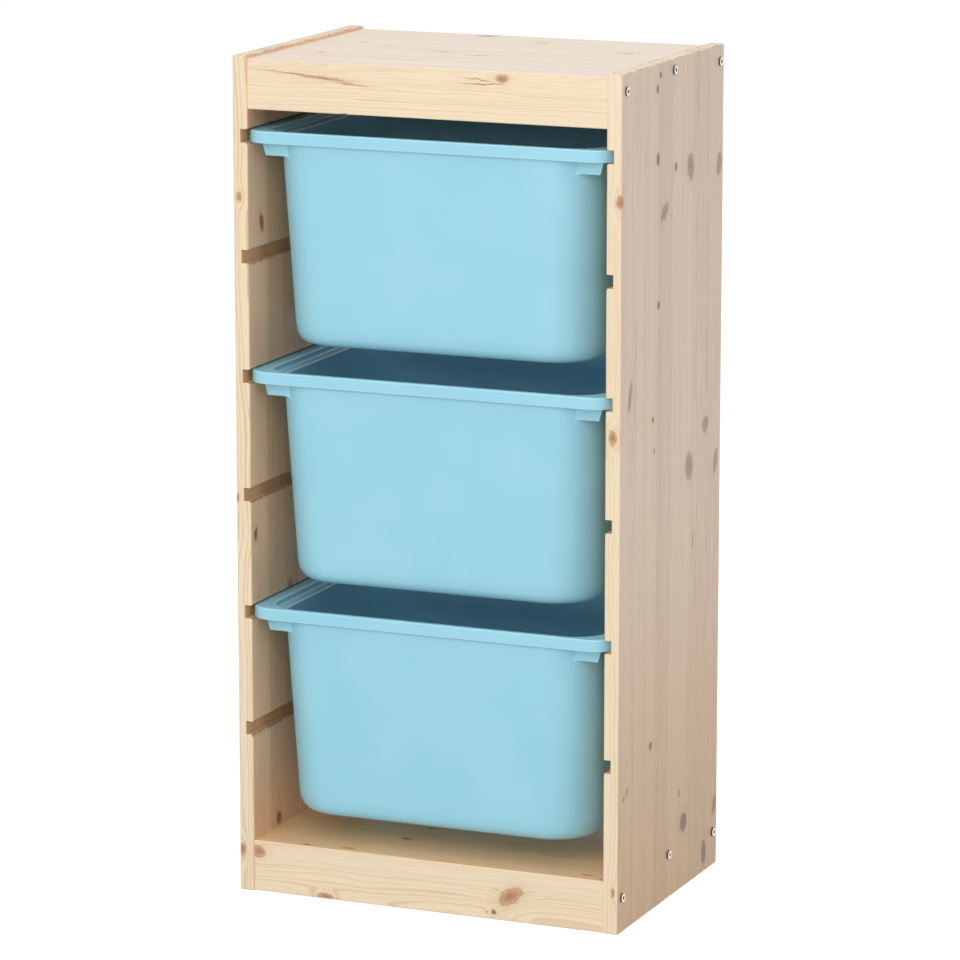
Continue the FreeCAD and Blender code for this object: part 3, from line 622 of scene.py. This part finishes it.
BOARD_FINISHES = {
    "top_board": (
        (-40.0, 861.0, 2.8, 0.012),
        (),
        (board_knot(-36.4, -14.3, 22.0, 15.0, 14.0), board_knot(12.0, -30.8, 28.0, 14.0, 20.0),
         board_knot(30.6, 100.0, 21.0, 15.0), board_knot(149.5, 46.7, 24.0, 19.0, 24.0),
         board_knot(-150.6, 31.9, 12.0, 11.0), board_knot(-155.6, -65.5, 13.0, 11.0),
         board_knot(-149.0, -125.0, 9.0, 6.0)),
    ),
    "bottom_board": (
        (-60.0, 4.0, 2.6, -0.012),
        (board_knot(-52.3, -80.1, 14.0, 6.0), board_knot(-44.0, -33.0, 7.0, 5.0)),
        (board_knot(104.0, 38.0, 21.0, 15.0, 16.0), board_knot(-136.0, 74.0, 15.0, 12.0)),
    ),
}
# The faces that look up on the top board and the top rails are painted lighter and bluer, as a
# painted sheen. Those on the bottom board and the bottom rails are painted warmer, as painted warm
# bounce light.
PAINTED_TOP_SHEEN = (1.03, 1.03, 1.15, 1.0)
PAINTED_WARM_BOUNCE = (1.12, 0.89, 0.69, 1.0)
for kind, finishes in ((RAIL, RAIL_FINISHES), (BOARD, BOARD_FINISHES)):
    for name, (stave, dark_knots, red_knots) in finishes.items():
        upper_painted_light = upper_face_painted_light(PAINTED_TOP_SHEEN if "top" in name else PAINTED_WARM_BOUNCE)
        knots = ((red_knots, FOX), (dark_knots, DARK))
        paint(NODES[name], pine(f"{name}_pine", kind, (stave,), (), knots, 1.0, (upper_painted_light,)))
        print(f"{name}: rings {stave[2]} mm apart, {len(dark_knots) + len(red_knots)} knots")

# %% [markdown]
# ## Moulded plastic
#
# The bins are injection moulded. The mould is spark-eroded, which gives the skin a texture
# too fine to see but fine enough to spread each highlight, so a satin sheen stands in for it
# with a fine relief. The rims have slid in and out of the grooves, and the undersides of the
# tubs have been pushed across floors: both are scuffed a little paler and duller.

# %% The bins' plastic
SKY_BLUE = (0.325, 0.665, 0.815, 1.0)
DEEP_BLUE = (0.305, 0.645, 0.800, 1.0)
SCUFFED_BLUE = (0.46, 0.72, 0.82, 1.0)
PAINTED_HIGHLIGHT_BLUE = (0.56, 0.86, 0.98, 1.0)
LOWEST_RIM = 303.6
BIN_PITCH = 2 * GROOVE_PITCH
RIM_HEIGHT = 13.0
TUB_DROP = 217.0


def bin_plastic():
    """Satin light-blue plastic with scuffs where a bin slides and where it stands, and a painted
    highlight along rounded edges.
    """
    finish = Finish("bin_plastic")
    x, y, z = finish.parts(finish.place)
    over_floor = ((z - LOWEST_RIM + TUB_DROP + 10.0) / BIN_PITCH).fraction() * BIN_PITCH - 10.0
    clouds = finish.speckle(finish.place, 0.012, 2.0)
    skin = finish.speckle(finish.place, 2.6, 2.0)
    slide_marks = finish.speckle(finish.point(x * 1.1, y * 0.02, z * 1.6), 1.0, 3.0)
    floor_marks = finish.speckle(finish.point(x * 0.35, y * 0.02, z), 1.0, 3.0)
    rim_end = x.size().rise(203.0, 207.5) * over_floor.rise(TUB_DROP - 1.0, TUB_DROP)
    slid = rim_end * slide_marks.rise(0.48, 0.66)
    stood = over_floor.fall(0.2, 2.5) * floor_marks.rise(0.50, 0.68)
    scuffs = slid * 0.5 + stood * 0.45
    colour = finish.blend(clouds.rise(0.35, 0.65), SKY_BLUE, DEEP_BLUE)
    colour = finish.blend(scuffs, colour, SCUFFED_BLUE)
    # Painted highlight: a pale colour painted along the rounded edges of the rim, the mouth and the
    # ledge.
    edge = finish.node("ShaderNodeAttribute", {"attribute_name": "painted_edge_highlight"}, output="Fac")
    colour = finish.blend(edge * 0.85, colour, PAINTED_HIGHLIGHT_BLUE)
    return finish.close({
        "Base Color": colour,
        "Roughness": 0.34 + skin * 0.10 + scuffs * 0.35 - edge * 0.18,
        "Normal": finish.relief(skin + scuffs * 0.6, 0.035),
        "Specular IOR Level": 0.5,
    })


plastic = bin_plastic()
print(f"finish {plastic.name}")

# %% [markdown]
# ## The shell of a bin
#
# A real bin is one moulded shell, a little over two millimetres thick everywhere, and no edge
# on it is sharp. Those softened edges catch the light as thin bright lines along the mouth
# and the ledge, and a pale highlight is painted along the rim, the mouth and the ledge as
# well. The construction model has the same shell with crisper edges.
#
# Every level of the shell, inside and out, is a rectangle with round corners. So the whole
# bin can be drawn as a walk: from the middle of its underside, out and up its outer wall,
# under and over the rim, down through the mouth and along the ledge, and down to the middle
# of its floor. At each turn of the walk stands one rectangle, and quads join them.

# %% Levels of the shell
RIM_TOP = RIM_HEIGHT
UNDERSIDE = -TUB_DROP
WALL = 2.2
# The tub's half width, half depth and corner at the rim's top, and how much each changes on
# the way down to the underside.
TUB_PLAN = ((183.2, -8.0), (145.5, -13.4), (49.0, 7.0))


def tub_level(height, inward=0.0):
    """The tub at a height over the underside of the rim: half width, half depth, corner, height."""
    down = (RIM_TOP - height) / (RIM_TOP - UNDERSIDE)
    return tuple(top + change * down - inward for top, change in TUB_PLAN) + (height,)


# Each turn of the walk: the rectangle there, how far its edge is rounded along both sides, and
# how strong a highlight is painted along that edge.
SHELL_WALK = (
    (tub_level(UNDERSIDE, 38.0), 0.0, 0.0),
    (tub_level(UNDERSIDE), 20.0, 0.0),
    (tub_level(3.4), 0.8, 0.0),
    ((193.2, 145.7, 40.2, 3.4), 0.5, 0.0),
    ((193.2, 145.7, 40.2, RIM_TOP - WALL), 0.8, 0.0),
    ((207.8, 147.3, 24.8, RIM_TOP - WALL), 0.7, 0.0),
    ((207.8, 147.3, 24.8, 0.0), 0.6, 0.0),
    ((210.0, 149.5, 27.0, 0.0), 0.9, 0.3),
    ((210.0, 149.5, 27.0, RIM_TOP), 1.6, 0.3),
    ((191.0, 143.5, 38.0, RIM_TOP), 1.6, 1.0),
    ((191.0, 143.5, 38.0, 5.6), 1.3, 1.0),
    (tub_level(5.6, WALL), 1.5, 1.0),
    (tub_level(UNDERSIDE + WALL, WALL), 18.0, 0.0),
    (tub_level(UNDERSIDE + WALL, 38.0), 0.0, 0.0),
)
print(f"{len(SHELL_WALK)} turns from the underside, over the rim, to the floor inside")

# %% [markdown]
# A turn is rounded by a short curve between its two neighbours. Just outside each curve comes
# one more rectangle, so that the smooth shading of the curve doesn't creep over the flats.

# %% Round the turns
CURVE_STEPS = 4
CORNER_STEPS = 14


def between(start, end, share):
    return tuple(a + (b - a) * share for a, b in zip(start, end))


def eased_walk(walk):
    """The walk with a curve of rectangles for each rounded turn, each with how strong a painted
    highlight it carries.
    """
    levels = [(walk[0][0], 0.0)]
    for (before, _, _), (turn, ease, highlight_amount), (after, _, _) in zip(walk, walk[1:], walk[2:]):
        back = math.dist(turn[:2] + turn[3:], before[:2] + before[3:])
        ahead = math.dist(turn[:2] + turn[3:], after[:2] + after[3:])
        back_share = min(ease / back, 0.45)
        ahead_share = min(ease / ahead, 0.45)
        levels.append((between(turn, before, min(back_share * 1.25, 0.49)), 0.0))
        start = between(turn, before, back_share)
        end = between(turn, after, ahead_share)
        for step in range(CURVE_STEPS + 1):
            share = step / CURVE_STEPS
            curve = between(between(start, turn, share), between(turn, end, share), share)
            levels.append((curve, highlight_amount))
        levels.append((between(turn, after, min(ahead_share * 1.25, 0.49)), 0.0))
    levels.append((walk[-1][0], 0.0))
    return levels


def loop_points(level):
    """Points round one rectangle, anticlockwise from above."""
    half_width, half_depth, corner, height = level
    points = []
    for quarter, (right, back) in enumerate(((1, 1), (-1, 1), (-1, -1), (1, -1))):
        for step in range(CORNER_STEPS + 1):
            angle = (quarter + step / CORNER_STEPS) * math.pi / 2
            points.append((right * (half_width - corner) + corner * math.cos(angle),
                           back * (half_depth - corner) + corner * math.sin(angle), height))
    return points


def skin(mesh, loops, closed_by):
    """Quads between neighbouring loops, and a fan to a point at each end."""
    rings = [[mesh.verts.new(point) for point in loop] for loop in loops]
    count = len(rings[0])
    for lower, upper in zip(rings, rings[1:]):
        for k in range(count):
            following = (k + 1) % count
            mesh.faces.new((lower[k], lower[following], upper[following], upper[k]))
    first, last = (mesh.verts.new(point) for point in closed_by)
    for k in range(count):
        following = (k + 1) % count
        mesh.faces.new((first, rings[0][following], rings[0][k]))
        mesh.faces.new((last, rings[-1][k], rings[-1][following]))
    return rings


SHELL_LEVELS = eased_walk(SHELL_WALK)
print(f"{len(SHELL_LEVELS)} rectangles of {len(loop_points(SHELL_LEVELS[0][0]))} points")

# %% [markdown]
# Four thin webs hang under the rim, near the bin's corners, and brace its sides against the
# tub. Each is a flat plate whose inner end runs a little way down the tub's wall. Its edges
# are bevelled like every other edge of the moulding.

# %% End webs
WEB_OUTLINE = (
    (164.4, 4.4), (164.2, 0.0), (162.1, -17.4), (163.4, -16.4), (165.4, -15.5), (168.4, -14.8),
    (172.0, -14.6), (189.7, -14.6), (192.9, -3.0), (193.2, 0.0), (193.2, 11.4), (182.0, 11.4),
    (182.0, 4.4),
)
WEB_FACE = 133.5


def add_web(mesh, side, end):
    """One web as a closed plate. Side is 1 on the right, end is -1 at the front."""
    faces = []
    for depth in (WEB_FACE, WEB_FACE - WALL):
        corners = [mesh.verts.new((side * x, end * depth, z)) for x, z in WEB_OUTLINE]
        faces.append(mesh.faces.new(corners))
    near, far = (list(face.verts) for face in faces)
    count = len(near)
    for k in range(count):
        following = (k + 1) % count
        mesh.faces.new((near[k], far[k], far[following], near[following]))
    plate = list({face for vertex in near + far for face in vertex.link_faces})
    bmesh.ops.recalc_face_normals(mesh, faces=plate)
    edges = list({edge for face in plate for edge in face.edges})
    bmesh.ops.bevel(mesh, geom=edges, offset=0.4, segments=2, profile=0.5, affect="EDGES")


# %% Build the bins
BINS = {
    "bottom_bin": LOWEST_RIM,
    "middle_bin": LOWEST_RIM + BIN_PITCH,
    "top_bin": LOWEST_RIM + 2 * BIN_PITCH,
}


def solid_piece(name, mesh, material, height=0.0):
    """A finished piece from a mesh drawn in millimetres, raised to its height over the floor."""
    bmesh.ops.scale(mesh, verts=mesh.verts, vec=(MM, MM, MM))
    bmesh.ops.translate(mesh, verts=mesh.verts, vec=(0.0, 0.0, height * MM))
    data = bpy.data.meshes.new(name)
    mesh.to_mesh(data)
    mesh.free()
    for polygon in data.polygons:
        polygon.use_smooth = True
    data.materials.append(material)
    piece = bpy.data.objects.new(name, data)
    bpy.context.scene.collection.objects.link(piece)
    return piece


for name, height in BINS.items():
    mesh = bmesh.new()
    for side in (1, -1):
        for end in (1, -1):
            add_web(mesh, side, end)
    # Each vertex keeps how strong a highlight is painted on it.
    painted_edge_highlight = mesh.verts.layers.float.new("painted_edge_highlight")
    rings = skin(mesh, [loop_points(level) for level, _ in SHELL_LEVELS],
                 ((0.0, 0.0, UNDERSIDE), (0.0, 0.0, UNDERSIDE + WALL)))
    for ring, (_, highlight_amount) in zip(rings, SHELL_LEVELS):
        for vertex in ring:
            vertex[painted_edge_highlight] = highlight_amount
    shell = solid_piece(f"{name}_shell", mesh, plastic, height)
    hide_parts(name)
    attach(shell, name)
    print(f"{name}: {len(shell.data.polygons)} faces")

# %% [markdown]
# ## Dowels
#
# The dowels sit inside the joints. Bare beech is enough for them.

# %% Beech
PALE_BEECH = (0.66, 0.44, 0.26, 1.0)
DARK_BEECH = (0.56, 0.35, 0.20, 1.0)
BEECH_FLECK = (0.30, 0.16, 0.08, 1.0)


def beech():
    """Bare beech: pinkish, plain, with short dark flecks along the grain."""
    finish = Finish("dowel_beech")
    x, y, z = finish.parts(finish.place)
    flecks = finish.speckle(finish.point(x * 0.6, y * 4.0, z * 4.0), 1.0, 2.0).rise(0.58, 0.66)
    tone = finish.speckle(finish.point(x * 0.05, y * 0.9, z * 0.9), 1.0, 2.0)
    colour = finish.blend(tone, PALE_BEECH, DARK_BEECH)
    colour = finish.blend(flecks * 0.35, colour, BEECH_FLECK)
    return finish.close({
        "Base Color": colour,
        "Roughness": 0.62 + tone * 0.1,
        "Normal": finish.relief(tone + flecks * 0.5, 0.06),
    })


dowel_wood = beech()
print(f"finish {dowel_wood.name}")

# %% [markdown]
# The same small piece stands in many places, so it is modelled once and Geometry Nodes sets
# out the copies. The places are loose points, each with the direction that its copy points
# in. Every copy is turned about its own axis by a chance amount, as nobody lines them up.

# %% Set out copies of a piece
def driven_in(name, pattern, places, seed, material):
    """Copies of a pattern that lies along +X, one at each place, as one mesh."""
    tree = bpy.data.node_groups.new(name, "GeometryNodeTree")
    sockets = tree.interface
    sockets.new_socket("Places", in_out="INPUT", socket_type="NodeSocketGeometry")
    piece_input = sockets.new_socket("Piece", in_out="INPUT", socket_type="NodeSocketObject")
    seed_input = sockets.new_socket("Seed", in_out="INPUT", socket_type="NodeSocketInt")
    finish_input = sockets.new_socket("Finish", in_out="INPUT", socket_type="NodeSocketMaterial")
    sockets.new_socket("Copies", in_out="OUTPUT", socket_type="NodeSocketGeometry")

    def node(kind, **settings):
        made = tree.nodes.new(kind)
        for key, value in settings.items():
            setattr(made, key, value)
        return made

    start = node("NodeGroupInput")
    end = node("NodeGroupOutput")
    piece = node("GeometryNodeObjectInfo")
    piece.inputs["As Instance"].default_value = True
    outward = node("GeometryNodeInputNamedAttribute", data_type="FLOAT_VECTOR")
    outward.inputs["Name"].default_value = "outward"
    aim = node("FunctionNodeAlignRotationToVector", axis="X")
    chance = node("FunctionNodeRandomValue", data_type="FLOAT")
    chance.inputs[2].default_value = 0.0
    chance.inputs[3].default_value = 2 * math.pi
    twist = node("FunctionNodeAxisAngleToRotation")
    twist.inputs["Axis"].default_value = (1.0, 0.0, 0.0)
    turn = node("FunctionNodeRotateRotation", rotation_space="LOCAL")
    copies = node("GeometryNodeInstanceOnPoints")
    real = node("GeometryNodeRealizeInstances")
    finish = node("GeometryNodeSetMaterial")
    for source, target in (
        (start.outputs["Piece"], piece.inputs["Object"]),
        (start.outputs["Seed"], chance.inputs["Seed"]),
        (outward.outputs["Attribute"], aim.inputs["Vector"]),
        (chance.outputs[1], twist.inputs["Angle"]),
        (aim.outputs[0], turn.inputs["Rotation"]),
        (twist.outputs[0], turn.inputs["Rotate By"]),
        (start.outputs["Places"], copies.inputs["Points"]),
        (piece.outputs["Geometry"], copies.inputs["Instance"]),
        (turn.outputs[0], copies.inputs["Rotation"]),
        (copies.outputs[0], real.inputs[0]),
        (real.outputs[0], finish.inputs["Geometry"]),
        (start.outputs["Finish"], finish.inputs["Material"]),
        (finish.outputs[0], end.inputs["Copies"]),
    ):
        tree.links.new(source, target)

    points = bpy.data.meshes.new(f"{name}_places")
    points.from_pydata([[value * MM for value in place] for place, _ in places], [], [])
    directions = points.attributes.new("outward", "FLOAT_VECTOR", "POINT")
    for entry, (_, direction) in zip(directions.data, places):
        entry.vector = direction
    carrier = bpy.data.objects.new(f"{name}_places", points)
    bpy.context.scene.collection.objects.link(carrier)
    modifier = carrier.modifiers.new(name, "NODES")
    modifier.node_group = tree
    modifier[piece_input.identifier] = pattern
    modifier[seed_input.identifier] = seed
    modifier[finish_input.identifier] = material
    evaluated = carrier.evaluated_get(bpy.context.evaluated_depsgraph_get())
    data = bpy.data.meshes.new_from_object(evaluated)
    result = bpy.data.objects.new(name, data)
    bpy.context.scene.collection.objects.link(result)
    bpy.data.objects.remove(carrier)
    bpy.data.objects.remove(pattern)
    return result


def turned_piece(name, profile, material, count=24, shape=None):
    """A lathe piece along +X. The profile is (x, radius), and a shape may change each radius."""
    mesh = bmesh.new()
    loops = []
    for x, radius in profile[1:-1]:
        loop = []
        for k in range(count):
            angle = 2 * math.pi * k / count
            reach = shape(x, radius, angle) if shape else radius
            loop.append((x, reach * math.cos(angle), reach * math.sin(angle)))
        loops.append(loop)
    skin(mesh, loops, ((profile[0][0], 0.0, 0.0), (profile[-1][0], 0.0, 0.0)))
    bmesh.ops.recalc_face_normals(mesh, faces=mesh.faces)
    return solid_piece(name, mesh, material)


# %% [markdown]
# A dowel is a beech pin with bevelled ends. Fine flutes along it let glue and air out of the
# hole while it is pressed in.

# %% Fluted dowels
FRAME_HALF = 220.0
JOINT = 203.0            # where the panel's inner face meets the rails' and boards' ends
RAIL_MIDDLE = 137.5
DOWEL_LEVELS = [(end * RAIL_MIDDLE, z) for end in (-1, 1) for z in (869.0, 15.0)]
DOWEL_LEVELS += [(end * 70.0, z) for end in (-1, 1) for z in (898.5, 48.5)]
DOWEL_PROFILE = (
    (-20.0, 0.0), (-20.0, 2.9), (-19.0, 3.9), (-18.0, 3.9), (8.0, 3.9), (9.0, 3.9), (10.0, 2.9),
    (10.0, 0.0),
)


def fluted(x, radius, angle):
    """Eighteen shallow flutes along the straight part of the pin."""
    depth = 0.3 if radius > 3.5 else 0.0
    return radius - depth * (0.5 + 0.5 * math.cos(18 * angle))


dowel_pattern = turned_piece("dowel_pattern", DOWEL_PROFILE, dowel_wood, 72, fluted)
dowel_places = [((hand * JOINT, y, z), (hand, 0.0, 0.0)) for hand in (-1, 1) for y, z in DOWEL_LEVELS]
dowels = driven_in("fluted_dowels", dowel_pattern, dowel_places, 5, dowel_wood)
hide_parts(*[name for name in NODES if "_dowel_" in name])
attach(dowels, "frame")
print(f"{len(dowel_places)} dowels, {len(dowels.data.polygons)} faces")

# %% [markdown]
# ## Screws
#
# Turned, zinc-plated steel. The head is a shallow button with a hexagon socket. Its flat
# face is bright, with fine rings from the lathe, while its side is painted dark as a painted
# dark reflection and the socket is painted dark as painted shade. The finish tells them apart by
# a number that is kept at each point of the mesh: how far it lies from the screw's axis.

# %% Zinc-plated steel
PALE_ZINC = (0.93, 0.92, 0.91, 1.0)
GREY_ZINC = (0.80, 0.78, 0.76, 1.0)
PAINTED_SCREW_SHADE = (0.055, 0.042, 0.032, 1.0)


def zinc_steel():
    """Bright zinc with turning rings, with painted shade in the socket and a painted dark reflection
    on the side of the head.
    """
    finish = Finish("zinc_steel")
    radius = finish.node("ShaderNodeAttribute", {"attribute_name": "from_axis"}, output="Fac")
    painted_shade_mask = finish.node("ShaderNodeAttribute", {"attribute_name": "painted_shade_mask"}, output="Fac")
    spangle = finish.speckle(finish.place, 0.9, 2.0)
    rings = (radius * 38.0).wave() * 0.5 + 0.5
    bright = finish.blend(spangle.rise(0.35, 0.7), PALE_ZINC, GREY_ZINC)
    # The socket and the side of the head are painted dark: painted shade and a painted dark
    # reflection.
    colour = finish.blend(painted_shade_mask, bright, PAINTED_SCREW_SHADE)
    return finish.close({
        "Base Color": colour,
        "Metallic": 1.0 - painted_shade_mask * 0.7,
        "Roughness": 0.30 + spangle * 0.12 + painted_shade_mask * 0.25,
        "Normal": finish.relief(rings + spangle, 0.015),
    })


steel = zinc_steel()
print(f"finish {steel.name}")

# %% [markdown]
# The screw is one lathe piece. Its head's last loops change from a circle to a hexagon, which
# makes the socket, and its thread is a wave on the shank's radius that moves on by one pitch
# with each turn.

# %% One screw
THREAD_PITCH = 2.0
SOCKET = 2.0             # half of its width across flats
SHANK = 2.45             # radius over the thread
POINT_PROFILE = ((-50.0, 0.0), (-50.0, 0.55), (-48.0, 1.5))
THREAD_PROFILE = tuple((-46.0 + 0.5 * step, SHANK) for step in range(92))
HEAD_PROFILE = (
    (0.0, SHANK), (0.0, 2.6), (0.0, 4.55), (0.12, 4.85), (0.45, 5.0), (1.0, 5.0), (1.45, 4.9),
    (1.8, 4.62), (1.95, 4.3), (2.0, 3.9), (2.0, 3.0),
)
SOCKET_PROFILE = (
    (2.0, 2.42), (1.98, 2.30), (1.8, 2.08), (1.5, SOCKET), (-0.3, SOCKET), (-0.4, 1.9), (-0.9, 0.6),
)
SCREW_PROFILE = POINT_PROFILE + THREAD_PROFILE + HEAD_PROFILE + SOCKET_PROFILE + ((-1.2, 0.0),)


def threaded(x, radius, angle):
    """The thread on the shank, and the hexagon of the socket."""
    if (x, radius) in SOCKET_PROFILE:
        flat = (angle % (math.pi / 3)) - math.pi / 6
        return radius / math.cos(flat)
    if x < -1.0 and radius == SHANK:
        turn = (x / THREAD_PITCH - angle / (2 * math.pi)) % 1.0
        return radius - 0.5 * min(1.0, abs(turn - 0.5) * 3.0)
    return radius


screw_pattern = turned_piece("screw_pattern", SCREW_PROFILE, steel, 24, threaded)
from_axis = screw_pattern.data.attributes.new("from_axis", "FLOAT", "POINT")
painted_shade_mask = screw_pattern.data.attributes.new("painted_shade_mask", "FLOAT", "POINT")
for vertex in screw_pattern.data.vertices:
    x, y, z = vertex.co / MM
    radius = math.hypot(y, z)
    from_axis.data[vertex.index].value = radius
    # Marks the socket and the side of the head to be painted dark: painted shade and a painted dark
    # reflection.
    in_socket = x < 1.9 and radius < 2.4
    on_side = x < 1.5 and radius > 4.4
    painted_shade_mask.data[vertex.index].value = 1.0 if in_socket or on_side else 0.0
print(f"screw pattern: {len(screw_pattern.data.polygons)} faces")

# %% All twelve screws
SCREW_LEVELS = [(end * RAIL_MIDDLE, z) for end in (-1, 1) for z in (892.0, 38.0)]
SCREW_LEVELS += [(0.0, 898.5), (0.0, 48.5)]
screw_places = [((hand * FRAME_HALF, y, z), (hand, 0.0, 0.0))
                for hand in (-1, 1) for y, z in SCREW_LEVELS]
screws = driven_in("zinc_screws", screw_pattern, screw_places, 11, steel)
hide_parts(*[name for name in NODES if "_screw_" in name])
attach(screws, "frame")
print(f"{len(screw_places)} screws, {len(screws.data.polygons)} faces")

# %% [markdown]
# ## The studio
#
# A white floor runs far behind the object. Even light comes from all round, one large soft
# lamp stands in front, a low warm one lights what the boards would shade, and a third hangs
# above. The front then renders about as light as its colours are written, and the right-hand
# side falls off by about a third, as in the photograph.
#
# Seen straight by the camera the floor and the world are white, and so they are in a
# reflection. Light that bounces off the floor still follows its real colour, and the floor
# keeps the object's shadow.

# %% Floor
FLOOR_REACH = 30.0
FLOOR_COLOUR = (0.66, 0.655, 0.64, 1.0)
FLOOR_GLOW = 0.66        # what the light on the floor lacks to white, where it is seen straight


def seen_straight(tree):
    """1 where the camera or a reflection looks at a surface, 0 for light that lands on it."""
    path = tree.nodes.new("ShaderNodeLightPath")
    total = path.outputs["Is Camera Ray"]
    for ray in ("Is Glossy Ray", "Is Transmission Ray"):
        either = tree.nodes.new("ShaderNodeMath")
        either.operation = "MAXIMUM"
        tree.links.new(total, either.inputs[0])
        tree.links.new(path.outputs[ray], either.inputs[1])
        total = either.outputs[0]
    return total


half = FLOOR_REACH / 2
floor_mesh = bpy.data.meshes.new("floor")
floor_mesh.from_pydata([(-half, -half, 0), (half, -half, 0), (half, half, 0), (-half, half, 0)], [],
                       [(0, 1, 2, 3)])
floor = bpy.data.objects.new("floor", floor_mesh)
bpy.context.scene.collection.objects.link(floor)

floor_material = bpy.data.materials.new("floor_paint")
floor_material.use_nodes = True
tree = floor_material.node_tree
tree.nodes.clear()
matt = tree.nodes.new("ShaderNodeBsdfDiffuse")
matt.inputs["Color"].default_value = FLOOR_COLOUR
glow = tree.nodes.new("ShaderNodeEmission")
glow.inputs["Strength"].default_value = FLOOR_GLOW
both = tree.nodes.new("ShaderNodeAddShader")
choice = tree.nodes.new("ShaderNodeMixShader")
end = tree.nodes.new("ShaderNodeOutputMaterial")
tree.links.new(matt.outputs[0], both.inputs[0])
tree.links.new(glow.outputs[0], both.inputs[1])
tree.links.new(seen_straight(tree), choice.inputs[0])
tree.links.new(matt.outputs[0], choice.inputs[1])
tree.links.new(both.outputs[0], choice.inputs[2])
tree.links.new(choice.outputs[0], end.inputs[0])
floor.data.materials.append(floor_material)

# %% World and lamps
WORLD_LIGHT = 0.57
WHITE = (1.0, 1.0, 1.0, 1.0)

world = bpy.data.worlds.new("studio")
bpy.context.scene.world = world
world.use_nodes = True
tree = world.node_tree
tree.nodes.clear()
ambient = tree.nodes.new("ShaderNodeBackground")
ambient.inputs["Color"].default_value = WHITE
ambient.inputs["Strength"].default_value = WORLD_LIGHT
white = tree.nodes.new("ShaderNodeBackground")
white.inputs["Color"].default_value = WHITE
white.inputs["Strength"].default_value = 1.0
choice = tree.nodes.new("ShaderNodeMixShader")
end = tree.nodes.new("ShaderNodeOutputWorld")
tree.links.new(seen_straight(tree), choice.inputs[0])
tree.links.new(ambient.outputs[0], choice.inputs[1])
tree.links.new(white.outputs[0], choice.inputs[2])
tree.links.new(choice.outputs[0], end.inputs[0])


def lamp(name, place, width, height, power, colour=(1.0, 1.0, 1.0)):
    """A wide soft box that looks at the middle of the frame."""
    light = bpy.data.lights.new(name, "AREA")
    light.shape = "RECTANGLE"
    light.size = width
    light.size_y = height
    light.energy = power
    light.color = colour
    holder = bpy.data.objects.new(name, light)
    holder.location = place
    middle = (CAD_BOX[0] + CAD_BOX[1]) / 2
    holder.rotation_euler = (Vector(middle) - Vector(place)).to_track_quat("-Z", "Y").to_euler()
    bpy.context.scene.collection.objects.link(holder)
    return holder


lamp("key", (0.5, -3.9, 2.5), 4.6, 2.2, 62.0)
lamp("low_fill", (0.1, -3.8, 0.65), 3.0, 0.7, 25.0, (1.0, 0.90, 0.78))
lamp("top_light", (0.0, -0.4, 3.6), 2.6, 2.6, 22.0)
print("a key lamp, a low warm fill, a light from above and one even world")
